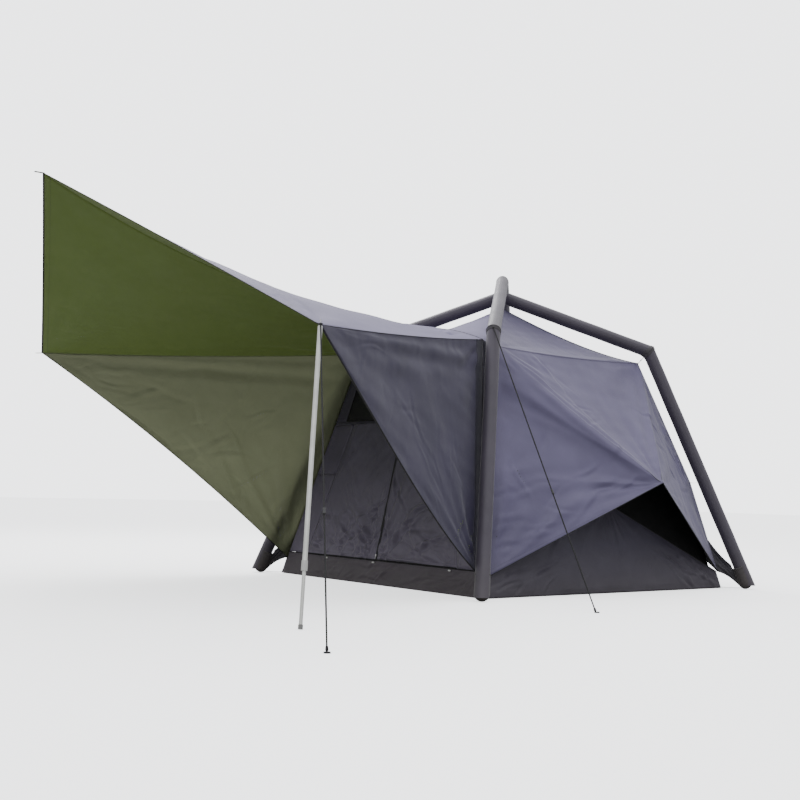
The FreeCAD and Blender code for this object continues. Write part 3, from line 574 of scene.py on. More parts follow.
def solid(name, colour, rough=0.4, metal=0.0, grain=300.0, bump=0.1, variation=0.25,
          stretch=(1, 1, 1), coat=0.0):
    """Plastic, metal, rubber or cord: base tone with fine grain, worn patches and bump."""
    material, add = new_material(name)
    place = add("TexCoord", "Object", {})
    stretched = add("Mapping", "Vector", {"Vector": place, "Scale": stretch})
    fine = add("TexNoise", "Fac", {"Vector": stretched, "Scale": grain, "Detail": 3.0})
    broad = add("TexNoise", "Fac", {"Vector": place, "Scale": 14.0})
    dark = [c * (1 - variation) for c in colour]
    pale = [min(1.0, c * (1 + variation * 0.5)) for c in colour]
    shader = add("BsdfPrincipled", "BSDF", {
        "Base Color": two_tones(add, broad, dark, pale, 0.3, 0.7), "Metallic": metal, "Coat Weight": coat,
        "Roughness": span(add, fine, max(0.05, rough - 0.1), rough + 0.15),
        "Normal": add("Bump", "Normal", {"Height": fine, "Strength": bump, "Distance": 0.001})})
    add("OutputMaterial", None, {"Surface": shader})
    return material


def net(name, colour, cover):
    """Fine insect mesh: threads with see-through gaps."""
    material, add = new_material(name)
    threads = square_grid(add, add("TexCoord", "Object", {}), 500.0, 0.12)
    surface = add("BsdfPrincipled", "BSDF", {"Base Color": (*colour, 1), "Roughness": 0.8})
    gap = add("BsdfTransparent", "BSDF", {})
    shader = add("MixShader", "Shader", {"Fac": span(add, threads, 1 - cover, 0.0), 1: surface, 2: gap})
    add("OutputMaterial", None, {"Surface": shader})
    return material


FAR_FALL = ("Z", 0.9, 1.6, 0.8)
OUTER = fabric("outer_cloth", (0.109, 0.096, 0.178), (0.086, 0.075, 0.144), 0.56, crinkle=0.22, dust=0.25)
OUTER_BACK = fabric("outer_cloth_back", (0.055, 0.055, 0.068), (0.045, 0.045, 0.055), 0.7, crinkle=0.2)
AWNING_TOP = fabric("awning_cloth_top", (0.235, 0.206, 0.370), (0.195, 0.172, 0.310), 0.6,
                    0.30, (0.50, 0.56, 0.36), 0.18)
AWNING_UNDER = fabric("awning_cloth_under", (0.082, 0.112, 0.036), (0.066, 0.090, 0.029), 0.6,
                      0.45, (0.31, 0.39, 0.12), 0.18, fall=("Y", -3.4, -1.2, 0.55))
FAR_TOP = fabric("far_wall_cloth", (0.132, 0.117, 0.205), (0.104, 0.092, 0.168), 0.56,
                 0.42, (0.70, 0.70, 0.64), 0.25, fall=FAR_FALL)
FAR_UNDER = fabric("far_wall_cloth_under", (0.120, 0.128, 0.078), (0.088, 0.098, 0.052), 0.55,
                   0.42, (0.51, 0.55, 0.36), 0.3, fall=FAR_FALL)
# A much darker copy of the awning wall cloth: painted shade on the near wall's outer face, which is turned from
# the light.
NEAR_WALL_PAINTED_SHADE = fabric("near_wall_cloth", (0.038, 0.032, 0.067), (0.028, 0.024, 0.052), 0.62)
# Near black: painted shade of the shadowed corner between the awning wall and the beam.
GUSSET_PAINTED_SHADE = fabric("gusset_cloth", (0.020, 0.019, 0.034), (0.014, 0.013, 0.025), 0.65, crinkle=0.2)
# Its paler colour towards the ground is painted light: the lower door and the strips beside it lit brighter than
# their tops.
DOOR_CLOTH = fabric("door_cloth", (0.092, 0.080, 0.120), (0.070, 0.061, 0.093), 0.58, crinkle=0.35, dust=0.8,
                    dust_and_light_top=0.95, dust_and_light_colour=(0.200, 0.175, 0.235))
HEADER_CLOTH = fabric("header_cloth", (0.050, 0.044, 0.068), (0.036, 0.032, 0.050), 0.62, crinkle=0.3)
SKIRT_CLOTH = fabric("skirt_cloth", (0.112, 0.094, 0.118), (0.084, 0.071, 0.089), 0.6, crinkle=0.4, dust=0.4)
INNER_CLOTH = fabric("inner_cloth", (0.056, 0.050, 0.078), (0.042, 0.037, 0.060), 0.6, crinkle=0.35, dust=0.4)
BEAM_CLOTH = fabric("beam_cloth", (0.060, 0.051, 0.072), (0.045, 0.038, 0.054), 0.5, crinkle=0.12,
                    sheen=0.25, dust=0.3)
BAND_CLOTH = fabric("band_cloth", (0.050, 0.045, 0.053), (0.038, 0.034, 0.040), 0.6, crinkle=0.1)
BOOT_CLOTH = fabric("boot_cloth", (0.060, 0.055, 0.060), (0.042, 0.038, 0.042), 0.7, crinkle=0.25, dust=0.6)
FLOOR_CLOTH = fabric("floor_cloth", (0.045, 0.048, 0.052), (0.035, 0.037, 0.04), 0.6, crinkle=0.3)
WING_CLOTH = fabric("wing_cloth", (0.034, 0.033, 0.046), (0.024, 0.023, 0.034), 0.6, crinkle=0.35, dust=0.4)
BINDING = fabric("binding_tape", (0.012, 0.012, 0.014), (0.008, 0.008, 0.009), 0.75, crinkle=0.15)
WEBBING = fabric("webbing", (0.020, 0.020, 0.024), (0.012, 0.012, 0.014), 0.8, crinkle=0.1)
PALE_WEBBING = fabric("pale_webbing", (0.42, 0.42, 0.40), (0.33, 0.33, 0.31), 0.75, crinkle=0.1)
SEAM = fabric("seam_tape", (0.092, 0.080, 0.150), (0.074, 0.064, 0.122), 0.6, crinkle=0.1)
ZIP_TAPE = fabric("zip_tape", (0.022, 0.022, 0.026), (0.015, 0.015, 0.018), 0.7, crinkle=0.08)
THREAD = solid("thread", (0.030, 0.028, 0.040), 0.7, grain=900.0, bump=0.4)
CORD = solid("braided_cord", (0.010, 0.010, 0.011), 0.75, grain=1400.0, bump=0.5)
MESH = net("vent_net", (0.006, 0.006, 0.007), 0.82)
POLE = solid("pole_metal", (0.66, 0.67, 0.64), 0.38, 0.45, 220.0, 0.12, 0.12, (1, 1, 0.05))
STEEL = solid("steel", (0.52, 0.52, 0.52), 0.3, 1.0, 400.0, 0.1, 0.15)
EYELET = solid("eyelet_metal", (0.45, 0.42, 0.36), 0.32, 1.0, 500.0, 0.1, 0.2)
BLACK_PLASTIC = solid("black_plastic", (0.018, 0.018, 0.020), 0.42, 0.0, 600.0, 0.15, 0.3)
PALE_PLASTIC = solid("pale_plastic", (0.46, 0.46, 0.45), 0.42, 0.0, 500.0, 0.12, 0.12)
ROD = solid("fibre_rod", (0.020, 0.020, 0.021), 0.35, 0.0, 200.0, 0.1, 0.3, (1, 1, 0.1), 0.3)
RUBBER = solid("shoe_rubber", (0.23, 0.23, 0.225), 0.7, 0.0, 500.0, 0.3, 0.3)
WHITE_TOGGLE = solid("white_toggle", (0.80, 0.80, 0.78), 0.3, 0.0, 300.0, 0.05, 0.08, coat=0.3)


# ---- the body's shared edges ----
def corner_half(z):
    """Distance from the middle to the body's corner edge at height z."""
    return np.interp(z, [0.0, WAIST[2], EAVE_Z], [BASE, WAIST[0], EAVE])


def corner_point(z, sx, sy):
    half = corner_half(z)
    return vec(sx * half, sy * half, z)


def eave_curve():
    """The right side's eave from the front corner to the back corner, sagging a little."""
    t = np.linspace(0, 1, EAVE_RUN + 1)
    points = lerp(vec(EAVE, -EAVE, EAVE_Z), vec(EAVE, EAVE, EAVE_Z), t)
    sag, draw_in = 0.018, 0.010
    points[:, 2] -= sag * arch(t)
    points[:, 0] -= draw_in * arch(t)
    return points


def front_curve(steps):
    """Where roof and awning meet: front eave, bowed up at the ridge."""
    t = np.linspace(-1, 1, 2 * steps + 1)
    half, y, end_z = FRONT_EAVE
    z = end_z + (RIDGE_START_Z - end_z) * (1 - t * t)
    return np.stack([half * t, np.full_like(t, y), z], axis=1)


# ---- vented walls ----
def wall_points():
    """The right side's outer wall, as a fan from the hood's peak.

    Its rim runs up the front corner, along the eave and down the back corner."""
    corners = [corner_point(z, 1, -1) for z in (HOOD_START_Z, WAIST[2], EAVE_Z)]
    leg = polyline(corners, FRONT_RUN)
    back = (leg * vec(1, -1, 1))[::-1]
    rim = np.concatenate([leg, eave_curve()[1:], back[1:]])
    points = fan(HOOD, rim, FAN_ROWS)
    u = np.linspace(0, 1, len(rim))
    v = np.linspace(0, 1, FAN_ROWS)
    corner = sum(FRONT_RUN) / (len(rim) - 1)
    top_dip, side_dip, top_run, side_run, roundness = 0.034, 0.024, 0.16, 0.42, 0.8
    top = np.clip(np.minimum(u - corner, 1 - corner - u) / top_run, 0, 1)
    side = np.clip(1 - np.abs(np.minimum(u, 1 - u) - corner / 2) / (corner * side_run), 0, 1)
    dip = top_dip * top[:, None] ** roundness + side_dip * side[:, None] ** roundness
    dip = dip * arch(v)[None, :] ** roundness
    return points - grid_normals(points) * dip[..., None]


def right_wall_fields(seed):
    front_eave, back_eave = corner_point(EAVE_Z, 1, -1), corner_point(EAVE_Z, 1, 1)
    front_start, back_start = corner_point(HOOD_START_Z, 1, -1), corner_point(HOOD_START_Z, 1, 1)
    lower_middle = (front_start + HOOD) / 2 + vec(0, 0, 0.25)
    right_edge = corner_point(WAIST[2] + 0.25, 1, 1)
    crease_start = corner_point(EAVE_Z - 0.22, 1, -1)
    return [
        fold(pull_folds, HOOD, 12, 0.010, 0.34, seed),
        fold(pull_folds, front_start, 14, 0.020, 0.34, seed + 1),
        fold(pull_folds, back_start, 12, 0.010, 0.26, seed + 2),
        fold(pull_folds, front_eave, 10, 0.013, 0.36, seed + 3),
        fold(pull_folds, back_eave, 9, 0.007, 0.30, seed + 4),
        fold(pull_folds, corner_point(WAIST[2], 1, -1), 9, 0.006, 0.22, seed + 9),
        fold(drag_lines, front_eave, HOOD, 0.075, 0.007, 1.6, seed + 5),
        fold(sink_under, crease_start, HOOD, vec(1, 0, 0), 0.10, 0.036),
        fold(drag_lines, back_eave, HOOD, 0.09, 0.010, 1.4, seed + 6),
        fold(creases, front_start, HOOD, 26, 0.40, 0.16, 0.016, 0.0090, seed + 10, 0.35),
        fold(creases, lower_middle, front_start, 18, 0.5, 0.16, 0.018, 0.0090, seed + 11),
        fold(creases, right_edge, back_start, 30, 0.28, 0.12, 0.016, 0.0095, seed + 12, 0.8),
        fold(creases, front_eave, HOOD, 12, 0.45, 0.30, 0.022, 0.0070, seed + 13, 0.15),
        fold(ripples, (0.0045, 0.62, seed + 7), (0.0020, 0.22, seed + 8)),
    ]


def soften(piece):
    """Gives the piece its own copy of its mesh data."""
    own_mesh(piece)


def build_vented_walls():
    for number, (side, degrees) in enumerate(SIDES):
        seed = 11 + number * 20
        outer = turn(settle(wall_points(), right_wall_fields(seed)), degrees)
        out = turn(vec(1, 0, 0.3), degrees)
        wall = sheet(f"{side}_wall_cloth", outer, out, [OUTER, OUTER_BACK], apex=True)
        soften(finish(wall, "tent", "outer_fabric", f"{side}_wall"))
        normals = grid_normals(outer)
        if mean_normal(normals) @ out < 0:
            normals = -normals
        for k, (edge, inside) in enumerate(((0, 2), (-1, -3))):
            soften(binding(f"{side}_hood_hem_{k}", outer[edge], 0.0036, flat=0.7))
            path, up = outer[inside][6:], normals[inside][6:]
            soften(stitches(f"{side}_hood_stitch_{k}", path, up, "outer_fabric"))

        panel = inner_panel_points(seed + 9)
        inner = sheet(f"{side}_inner_cloth", turn(panel, degrees), out, [INNER_CLOTH], apex=True)
        finish(inner, "tent", "inner_fabric", f"{side}_inner_panel")
        peak_edge = np.concatenate([panel[0][::-1], panel[-1][1:]])
        binding(f"{side}_inner_hem", turn(peak_edge + vec(0.002, 0, 0), degrees), 0.003)
        below_edge = turn(peak_edge + vec(0.001, 0, -0.014), degrees)
        stitches(f"{side}_inner_stitch", below_edge, out, "inner_fabric")
        mesh = sheet(f"{side}_vent_net", turn(mesh_points(), degrees), out, [MESH], NET)
        finish(mesh, "tent", "mesh", f"{side}_vent_mesh")


def lower_wall(y, z, behind):
    """A point on the right side's lower wall, or behind it."""
    slope = (BASE - WAIST[0]) / WAIST[2]
    return vec(BASE - slope * z - behind, y, z)


def inner_panel_points(seed):
    inset, behind = 0.012, 0.006
    start, foot = corner_half(HOOD_START_Z) - inset, BASE - inset
    ends = ((-start, HOOD_START_Z), (-foot, INNER_LOW_Z), (foot, INNER_LOW_Z), (start, HOOD_START_Z))
    corners = [lower_wall(y, z, behind) for y, z in ends]
    apex = lower_wall(HOOD[1], INNER_PEAK_Z, behind)
    fields = [
        fold(pull_folds, corners[0], 11, 0.013, 0.28, seed),
        fold(pull_folds, corners[3], 11, 0.014, 0.28, seed + 1),
        fold(pull_folds, apex, 11, 0.005, 0.18, seed + 2),
        fold(creases, corners[1], apex, 18, 0.5, 0.15, 0.016, 0.008, seed + 5, 0.5),
        fold(creases, corners[2], apex, 24, 0.5, 0.15, 0.016, 0.009, seed + 6, 0.5),
        fold(ripples, (0.004, 0.55, seed + 3), (0.002, 0.2, seed + 4)),
        lambda points, normals: -0.003,
    ]
    return settle(fan(apex, polyline(corners, (14, 150, 14)), 60), fields)


def mesh_points():
    """The vent's net, which stands behind the wall and narrows towards its top."""
    behind, top_half = 0.030, 1.0
    ends = ((to_cm(high("right_vent_mesh", 1)), low), (top_half, high))
    low_edge, high_edge = (
        polyline([lower_wall(y, to_cm(edge("right_vent_mesh", 2)), behind) for y in (-half, half)], (40,))
        for half, edge in ends
    )
    v = np.linspace(0, 1, 18)[None, :, None]
    points = low_edge[:, None] * (1 - v) + high_edge[:, None] * v
    return settle(points, [lambda points, normals: -0.004, fold(ripples, (0.003, 0.4, 5))])


# ---- roof ----
def roof_points(rim):
    """A roof panel as a fan from the apex, hanging a little below straight lines, most between its hips."""
    points = fan(APEX, rim, ROOF_ROWS)
    t = np.linspace(0, 1, ROOF_ROWS)
    u = np.linspace(0, 1, len(rim))
    hip_sag, belly_sag = 0.045, 0.012
    hip_drop = hip_sag * arch(t) * (0.75 + 0.5 * t)
    belly = belly_sag * np.sin(math.pi * u)[:, None] * np.sin(math.pi * t)[None, :]
    points[..., 2] -= hip_drop[None, :] + belly
    return points


def roof_fields(seed, corners):
    pulls = [fold(pull_folds, corner, 9, 0.006, 0.25, seed + 2 + k) for k, corner in enumerate(corners)]
    return [fold(ripples, (0.003, 0.5, seed), (0.0012, 0.18, seed + 1))] + pulls


def seam_tape(name, path, up, width=0.014):
    """Felled seam: a flat strip lying on the cloth."""
    lift, thickness = 0.0006, 0.0012
    strip = ribbon(name, path + up * lift, up, width, thickness, SEAM)
    finish(strip, "tent", "outer_fabric")


def build_roof():
    front_corner, back_corner = vec(EAVE, -EAVE, EAVE_Z), vec(EAVE, EAVE, EAVE_Z)
    for number, (side, degrees) in enumerate(SIDES):
        fields = roof_fields(70 + 10 * number, [front_corner, back_corner])
        points = turn(settle(roof_points(eave_curve()), fields), degrees)
        cloth = sheet(f"roof_cloth_{side}", points, UP, [OUTER, OUTER_BACK], apex=True)
        finish(cloth, "tent", "outer_fabric", f"roof_{side}")
        seam_tape(f"eave_seam_{side}", points[:, -1], turn(unit(vec(0.8, 0, 0.6)), degrees), 0.010)
        seam_tape(f"hip_seam_{side}", points[0], UP)
    seam_tape("hip_seam_front", points[-1], UP)
    join = front_curve(48)
    left = polyline([vec(-EAVE, -EAVE, EAVE_Z), join[0]], (6,))
    right = polyline([join[-1], front_corner], (6,))
    rim = np.concatenate([left, join[1:], right[1:]])
    points = settle(roof_points(rim), roof_fields(110, [rim[0], rim[-1]]))
    cloth = sheet("roof_cloth_front", points, UP, [AWNING_TOP, OUTER_BACK], apex=True)
    finish(cloth, "tent", "outer_fabric", "roof_front")


# ---- awning ----
def ridge_curve():
    """The awning's ridge, as a smooth curve through the RIDGE points."""
    y, z = np.transpose(RIDGE)
    run = np.linspace(y[0], y[-1], AWNING_STEPS + 1)
    return np.stack([np.zeros_like(run), run, np.polyval(np.polyfit(y, z, 3), run)], axis=1)


def sagged(a, b, sag, skew=0.0):
    """An edge from a to b that bows out by sag. skew moves its deepest place towards b."""
    t = np.linspace(0, 1, AWNING_STEPS + 1)
    return lerp(a, b, t) + np.outer(arch(t) * (1 + skew * (2 * t - 1)), sag)


def awning_roof_points(sx, eave, corner, side):
    """One half of the awning's roof, between the tent's eave, the ridge, the front and the side edge."""
    join = front_curve(JOIN_STEPS)
    half_join = join[JOIN_STEPS:] if sx > 0 else join[:JOIN_STEPS + 1][::-1]
    front = sagged(PEAK, corner, (0, 0.004, 0.006))
    share = np.round(np.linspace(0, AWNING_STEPS, JOIN_STEPS + 1)).astype(int)
    seed = 130 if sx > 0 else 160
    fields = [
        fold(pull_folds, corner, 12, 0.011, 0.50, seed),
        fold(pull_folds, eave, 11, 0.010, 0.40, seed + 1),
        fold(pull_folds, PEAK, 7, 0.006, 0.40, seed + 2),
        fold(creases, eave, corner, 14, 0.5, 0.30, 0.025, 0.006, seed + 10, 0.12),
        fold(creases, corner, eave, 10, 0.6, 0.30, 0.025, 0.005, seed + 11, 0.15),
        fold(ripples, (0.006, 0.9, seed + 3), (0.0018, 0.3, seed + 4)),
    ]
    return settle(coons(half_join, front[share], ridge_curve(), side), fields, hold_start=True)


def awning_wall_points(sx, eave, corner, side):
    """The awning's side wall, a fan from its outer corner to the edge where it joins the tent."""
    start = front_point(sx * AWNING_START[0], AWNING_START[1])
    near = sx > 0
    bow, skew = ((0.010, -0.022, -0.060), 0.6) if near else ((0.01, 0.02, 0.045), 0.0)
    free = sagged(corner, start, bow, skew)
    t = np.linspace(0, 1, AWNING_STEPS + 1)
    attach = lerp(eave, start, t)
    wall = corner + (attach[:, None] - corner) * t[None, :, None]
    top_bend = side[::-1] - lerp(corner, eave, t)
    free_bend = free - lerp(corner, start, t)
    u = t[:, None, None]
    wall = wall + top_bend[None] * (1 - u) + free_bend[None] * u
    seed = 130 if near else 160
    rim_count, rim_height = (12, 0.0030) if near else (44, 0.0060)
    below_eave = eave * 0.9 + start * 0.1
    low_third = corner * 0.3 + start * 0.7
    fields = [
        fold(pull_folds, corner, 15, 0.021, 0.75, seed + 5),
        fold(pull_folds, eave, 11, 0.012, 0.36, seed + 6),
        fold(pull_folds, start, 13, 0.014, 0.36, seed + 7),
        fold(drag_lines, corner, below_eave, 0.13, 0.011, 1.5, seed + 12),
        fold(creases, (corner + start) / 2, eave, rim_count, 0.7, 0.20, 0.018, rim_height, seed + 13, 0.35),
        fold(creases, low_third, start, 16, 0.4, 0.18, 0.016, 0.0035, seed + 14, 0.25),
        fold(creases, start, eave, 24, 0.3, 0.20, 0.014, 0.007, seed + 15, 0.3),
        fold(ripples, (0.007, 0.8, seed + 8), (0.0024, 0.25, seed + 9)),
    ]
    return settle(wall, fields)


def build_awning():
    for name, sx, corner in (("right", 1, POLE_CORNER), ("left", -1, FREE_CORNER)):
        eave = FRONT_EAVE * vec(sx, 1, 1)
        side = sagged(eave, corner, (0, 0, -0.020))
        roof = awning_roof_points(sx, eave, corner, side)
        top = sheet(f"awning_roof_cloth_{name}", roof, UP, [AWNING_TOP, AWNING_UNDER])
        finish(top, "tent", "awning_fabric", f"awning_roof_{name}")

        wall = awning_wall_points(sx, eave, corner, side)
        out = vec(sx, -0.4, 0)
        # The near wall's outer face takes the darkened colour: painted shade.
        faces = [NEAR_WALL_PAINTED_SHADE, AWNING_UNDER] if sx > 0 else [FAR_TOP, FAR_UNDER]
        cloth = sheet(f"awning_wall_cloth_{name}", wall, out, faces, apex=True)
        finish(cloth, "tent", "awning_fabric", f"awning_wall_{name}")
        if sx > 0:
            # A thin dark sheet along the near wall's edge at the tent, on this side only: painted shade where the
            # wall turns into shadow.
            strip, lift, thickness = wall[:, -8:], 0.0016, 0.001
            painted_shade_strip = sheet("awning_wall_join", strip + unit(out) * lift, out, [GUSSET_PAINTED_SHADE], thickness)
            finish(painted_shade_strip, "tent", "awning_fabric")

        front_edge, side_edge = f"awning_front_tape_{name}", f"awning_side_tape_{name}"
        binding(front_edge, roof[:, -1], 0.0065, f"awning_binding_{name}", sides=10, flat=0.35)
        binding(f"awning_free_tape_{name}", wall[-1], 0.0060, sides=10, flat=0.4)
        binding(side_edge, side + vec(0, 0, 0.001), 0.0042, flat=0.5)
        rows = ((roof[:, -3], UP), (roof[:, -3] - UP * FABRIC, -UP), (wall[-3, 4:], out))
        for k, (path, up) in enumerate(rows):
            stitches(f"awning_stitch_{name}_{k}", path, up, "awning_fabric")


# ---- front wall, door, skirt ----
def front_point(x, z):
    return vec(x, -BASE + FRONT_RUN_Y * z / FRONT_EAVE[2], z)


def front_half(z):
    return float(np.interp(z, [0, WAIST[2], FRONT_EAVE[2]], [BASE, WAIST[0], FRONT_EAVE[0]]))


def front_patch(low_left, low_right, high_right, high_left, nu, nv, fields):
    """Grid on the front wall between four (x, z) corners."""
    u, v = np.meshgrid(np.linspace(0, 1, nu + 1), np.linspace(0, 1, nv + 1), indexing="ij")
    corners = [np.asarray(c, float) for c in (low_left, low_right, high_left, high_right)]
    shares = ((1 - u) * (1 - v), u * (1 - v), (1 - u) * v, u * v)
    flat = sum(share[..., None] * corner for share, corner in zip(shares, corners))
    x, z = flat[..., 0], flat[..., 1]
    points = np.stack([x, -BASE + FRONT_RUN_Y * z / FRONT_EAVE[2], z], axis=-1)
    normals = np.broadcast_to(FRONT_NORMAL, points.shape)
    total = sum(field(points, normals) for field in fields)
    return points + FRONT_NORMAL * total[..., None]


STILL = fold(ripples, (0.0014, 0.5, 201))


def eased(field, ease):
    """A field scaled by a share that depends on the place."""
    return lambda points, normals: field(points, normals) * ease(points)


def raise_to_eave(points):
    """Lets the header's top edge follow the bow of the front eave."""
    rise = RIDGE_START_Z - FRONT_EAVE[2]
    share = np.linspace(0, 1, points.shape[1]) ** 2
    t = points[..., 0] / FRONT_EAVE[0]
    points[..., 2] += share * rise * np.clip(1 - t * t, 0, 1)
    return points


def side_strips(sx):
    """Strips beside the door, below and above the waist, and beside the window."""
    (door_x, door_z), (door_top_x, door_top_z) = DOOR_LOW, DOOR_HIGH
    window_z, window_top_z, mid = WINDOW_LOW[1], WINDOW_HIGH[1], WAIST[2]
    door_mid = door_x + (door_top_x - door_x) * (mid - door_z) / (door_top_z - door_z)
    low_z, high_z = door_z - DOOR_GAP, door_top_z + DOOR_GAP
    at_waist = [(front_half(mid), mid), (door_mid + DOOR_GAP, mid)]
    strips = (
        ([(door_x + DOOR_GAP, low_z), (front_half(FRONT_WALL_Z), low_z)] + at_waist, 8, 20),
        (at_waist[::-1] + [(front_half(door_top_z), high_z), (door_top_x + DOOR_GAP, high_z)], 8, 14),
        ([WINDOW_LOW, (front_half(window_z), window_z),
          (front_half(window_top_z), window_top_z), WINDOW_HIGH], 6, 12),
    )
    return [[(sx * x, z) for x, z in corners] + [nu, nv] for corners, nu, nv in strips]


def band_across(low_half, low_z, high_half, high_z, nv):
    return [(-low_half, low_z), (low_half, low_z), (high_half, high_z), (-high_half, high_z), 40, nv]


def build_front_wall():
    over_door = front_half(DOOR_HIGH[1]), DOOR_HIGH[1] + DOOR_GAP
    under_window = front_half(WINDOW_LOW[1]), WINDOW_LOW[1]
    over_window = front_half(WINDOW_HIGH[1]), WINDOW_HIGH[1]
    eave_overlap = 0.004
    under_eave = FRONT_EAVE[0] - eave_overlap, FRONT_EAVE[2] + eave_overlap
    patches = side_strips(1) + side_strips(-1)
    patches += [band_across(*over_door, *under_window, 2), band_across(*over_window, *under_eave, 8)]
    for k, patch in enumerate(patches):
        points = front_patch(*patch, [STILL])
        if k == len(patches) - 1:
            points = raise_to_eave(points)
        cloth = HEADER_CLOTH if k in (2, 5, 6, 7) else DOOR_CLOTH
        piece = sheet(f"front_wall_cloth_{k}", points, FRONT_NORMAL, [cloth])
        finish(piece, "tent", "door_fabric", *(["front_wall"] if k == 0 else []))
    for sx, name in ((1, "right"), (-1, "left")):
        waist = vec(sx * WAIST[0], -WAIST[0], WAIST[2])
        rim = polyline([vec(sx * EAVE, -EAVE, EAVE_Z), FRONT_EAVE * vec(sx, 1, 1)], (6,))
        points = fan(waist, rim, 30)
        # The gussets' outer face is near black: painted shade.
        piece = sheet(f"corner_gusset_{name}", points, (sx, -1, 0), [GUSSET_PAINTED_SHADE, OUTER_BACK], apex=True)
        finish(piece, "tent", "outer_fabric", *(["front_corner_gussets"] if sx > 0 else []))
    window = front_patch(*band_across(*WINDOW_LOW, *WINDOW_HIGH, 12), [STILL])
    piece = sheet("window_net", window, FRONT_NORMAL, [MESH], NET)
    finish(piece, "tent", "mesh", "window_mesh")
    for k, edge in enumerate((window[:, 0], window[:, -1], window[0], window[-1])):
        binding(f"window_tape_{k}", edge + FRONT_NORMAL * 0.001, 0.006, flat=0.35)


def build_skirt():
    hem_rise = 0.05
    half_low, half_high = front_half(INNER_LOW_Z) - SEAM_INSET, front_half(SKIRT_Z) - SEAM_INSET
    right_end = front_point(half_high, SKIRT_Z)
    middle, left = front_point(0.3, 0.1), front_point(-0.5, 0.1)

    def by_hem(points):
        return np.clip(points[..., 2] / hem_rise, 0, 1)

    fields = [STILL] + [eased(field, by_hem) for field in (
        fold(ripples, (0.004, 0.35, 211)),
        fold(pull_folds, right_end, 14, 0.010, 0.34, 212),
        fold(creases, middle, right_end, 36, 0.7, 0.18, 0.012, 0.005, 213, 0.25),
        fold(creases, left, right_end, 20, 0.6, 0.14, 0.012, 0.004, 214, 0.3),
    )]
    points = front_patch((-half_low, INNER_LOW_Z), (half_low, INNER_LOW_Z), (half_high, SKIRT_Z),
                         (-half_high, SKIRT_Z), 260, 24, fields)
    piece = sheet("skirt_cloth", points, FRONT_NORMAL, [SKIRT_CLOTH])
    finish(piece, "tent", "door_fabric", "front_skirt")
    binding("skirt_cord", points[:, -1] + FRONT_NORMAL * 0.003, 0.0035)
    stitches("skirt_stitch", points[:, -3], FRONT_NORMAL, "door_fabric")


def build_door():
    (low_x, low_z), (high_x, high_z) = DOOR_LOW, DOOR_HIGH
    centre_toggle = front_point(-0.021, low_z)
    edge_x, zip_run, hinge_run, hem_run = 0.0015, 0.05, 0.07, 0.02

    def ease(points):
        """Keeps the folds off the zip, the hem and the hinge."""
        x, z = np.abs(points[..., 0]), points[..., 2]
        hinge_x = low_x + (high_x - low_x) * (z - low_z) / (high_z - low_z)
        by_hinge = np.clip((hinge_x - x) / hinge_run, 0, 1) ** 1.2
        by_hem = np.clip((z - low_z) / hem_run + 0.3, 0, 1)
        return np.minimum(x / zip_run, 1) * by_hem * by_hinge

    for sx, name, toggle_x, seed in ((1, "right", 0.863, 220), (-1, "left", -0.636, 240)):
        toggle = front_point(toggle_x, low_z)
        upper, lower = front_point(-sx * 0.3, 0.9), front_point(sx * 0.3, 0.5)
        pulls = (
            fold(pull_folds, centre_toggle, 12, 0.024, 0.30, seed),
            fold(pull_folds, toggle, 11, 0.018, 0.26, seed + 1),
            fold(creases, centre_toggle, upper, 16, 0.30, 0.22, 0.016, 0.017, seed + 4, 0.5),
            fold(creases, toggle, centre_toggle, 14, 0.25, 0.14, 0.014, 0.012, seed + 5, 0.5),
            fold(creases, lower, centre_toggle, 12, 0.3, 0.25, 0.020, 0.014, seed + 6, 0.25),
            fold(ripples, (0.008, 0.6, seed + 2), (0.003, 0.2, seed + 3)),
            lambda points, normals: 0.008,
        )
        corners = [(sx * x, z) for x, z in ((edge_x, low_z), DOOR_LOW, DOOR_HIGH, (edge_x, high_z))]
        points = front_patch(*corners, 120, 140, [eased(field, ease) for field in pulls])
        body = f"door_{name}"
        leaf = sheet(f"door_cloth_{name}", points, FRONT_NORMAL, [DOOR_CLOTH])
        finish(leaf, body, "door_fabric", f"door_leaf_{name}")
        tape_half, tape_thickness = 0.006, 0.0012
        tape_path = points[0] + FRONT_NORMAL * 0.0008 + vec(sx * tape_half, 0, 0)
        tape = ribbon(f"zip_tape_{name}", tape_path, FRONT_NORMAL, tape_half * 2, tape_thickness, ZIP_TAPE)
        finish(tape, body, "zip", f"door_zip_tape_{name}")
        build_zip_coil(points[0], sx, body, name)
        binding(f"door_hem_{name}", points[:-1, 0] + FRONT_NORMAL * 0.001, 0.004, body=body, flat=0.6)
        lift = FRONT_NORMAL * 0.0002
        for k, path in enumerate((points[2:, 3], points[3, 3:], points[-4, 3:])):
            stitches(f"door_stitch_{name}_{k}", path + lift, FRONT_NORMAL, "door_fabric", body)


def build_zip_coil(edge, sx, body, name):
    """Coil along the tape's inner edge, as one mesh of small turns."""
    count, radius, thread_r = 700, 0.0010, 0.0007
    across, lift = sx * 0.0016, 0.0022
    path = columns(np.linspace(0, len(edge) - 1, count), np.arange(len(edge)), edge)
    angle = np.arange(count) * math.pi / 2
    path = path + np.outer(np.cos(angle) * radius + across, vec(1, 0, 0))
    path = path + np.outer(np.sin(angle) * radius + lift, FRONT_NORMAL)
    finish(tube(f"zip_coil_{name}", path, thread_r, BLACK_PLASTIC, 5), body, "zip")


# ---- air beams ----
def leg_ends(sx, sy):
    return vec(sx * FOOT, sy * FOOT, 0), vec(sx * KNEE[0], sy * KNEE[0], KNEE[2])


def beam_path(sx, sy, rise):
    foot, knee = leg_ends(sx, sy)
    return [foot, knee, vec(0, 0, CROSSING_Z + rise), knee * vec(-1, -1, 1), foot * vec(-1, -1, 1)]


def mitre_at(path, i):
    """Direction square to the cut where two straight lengths meet."""
    return unit(unit(path[i] - path[i - 1]) + unit(path[i + 1] - path[i]))


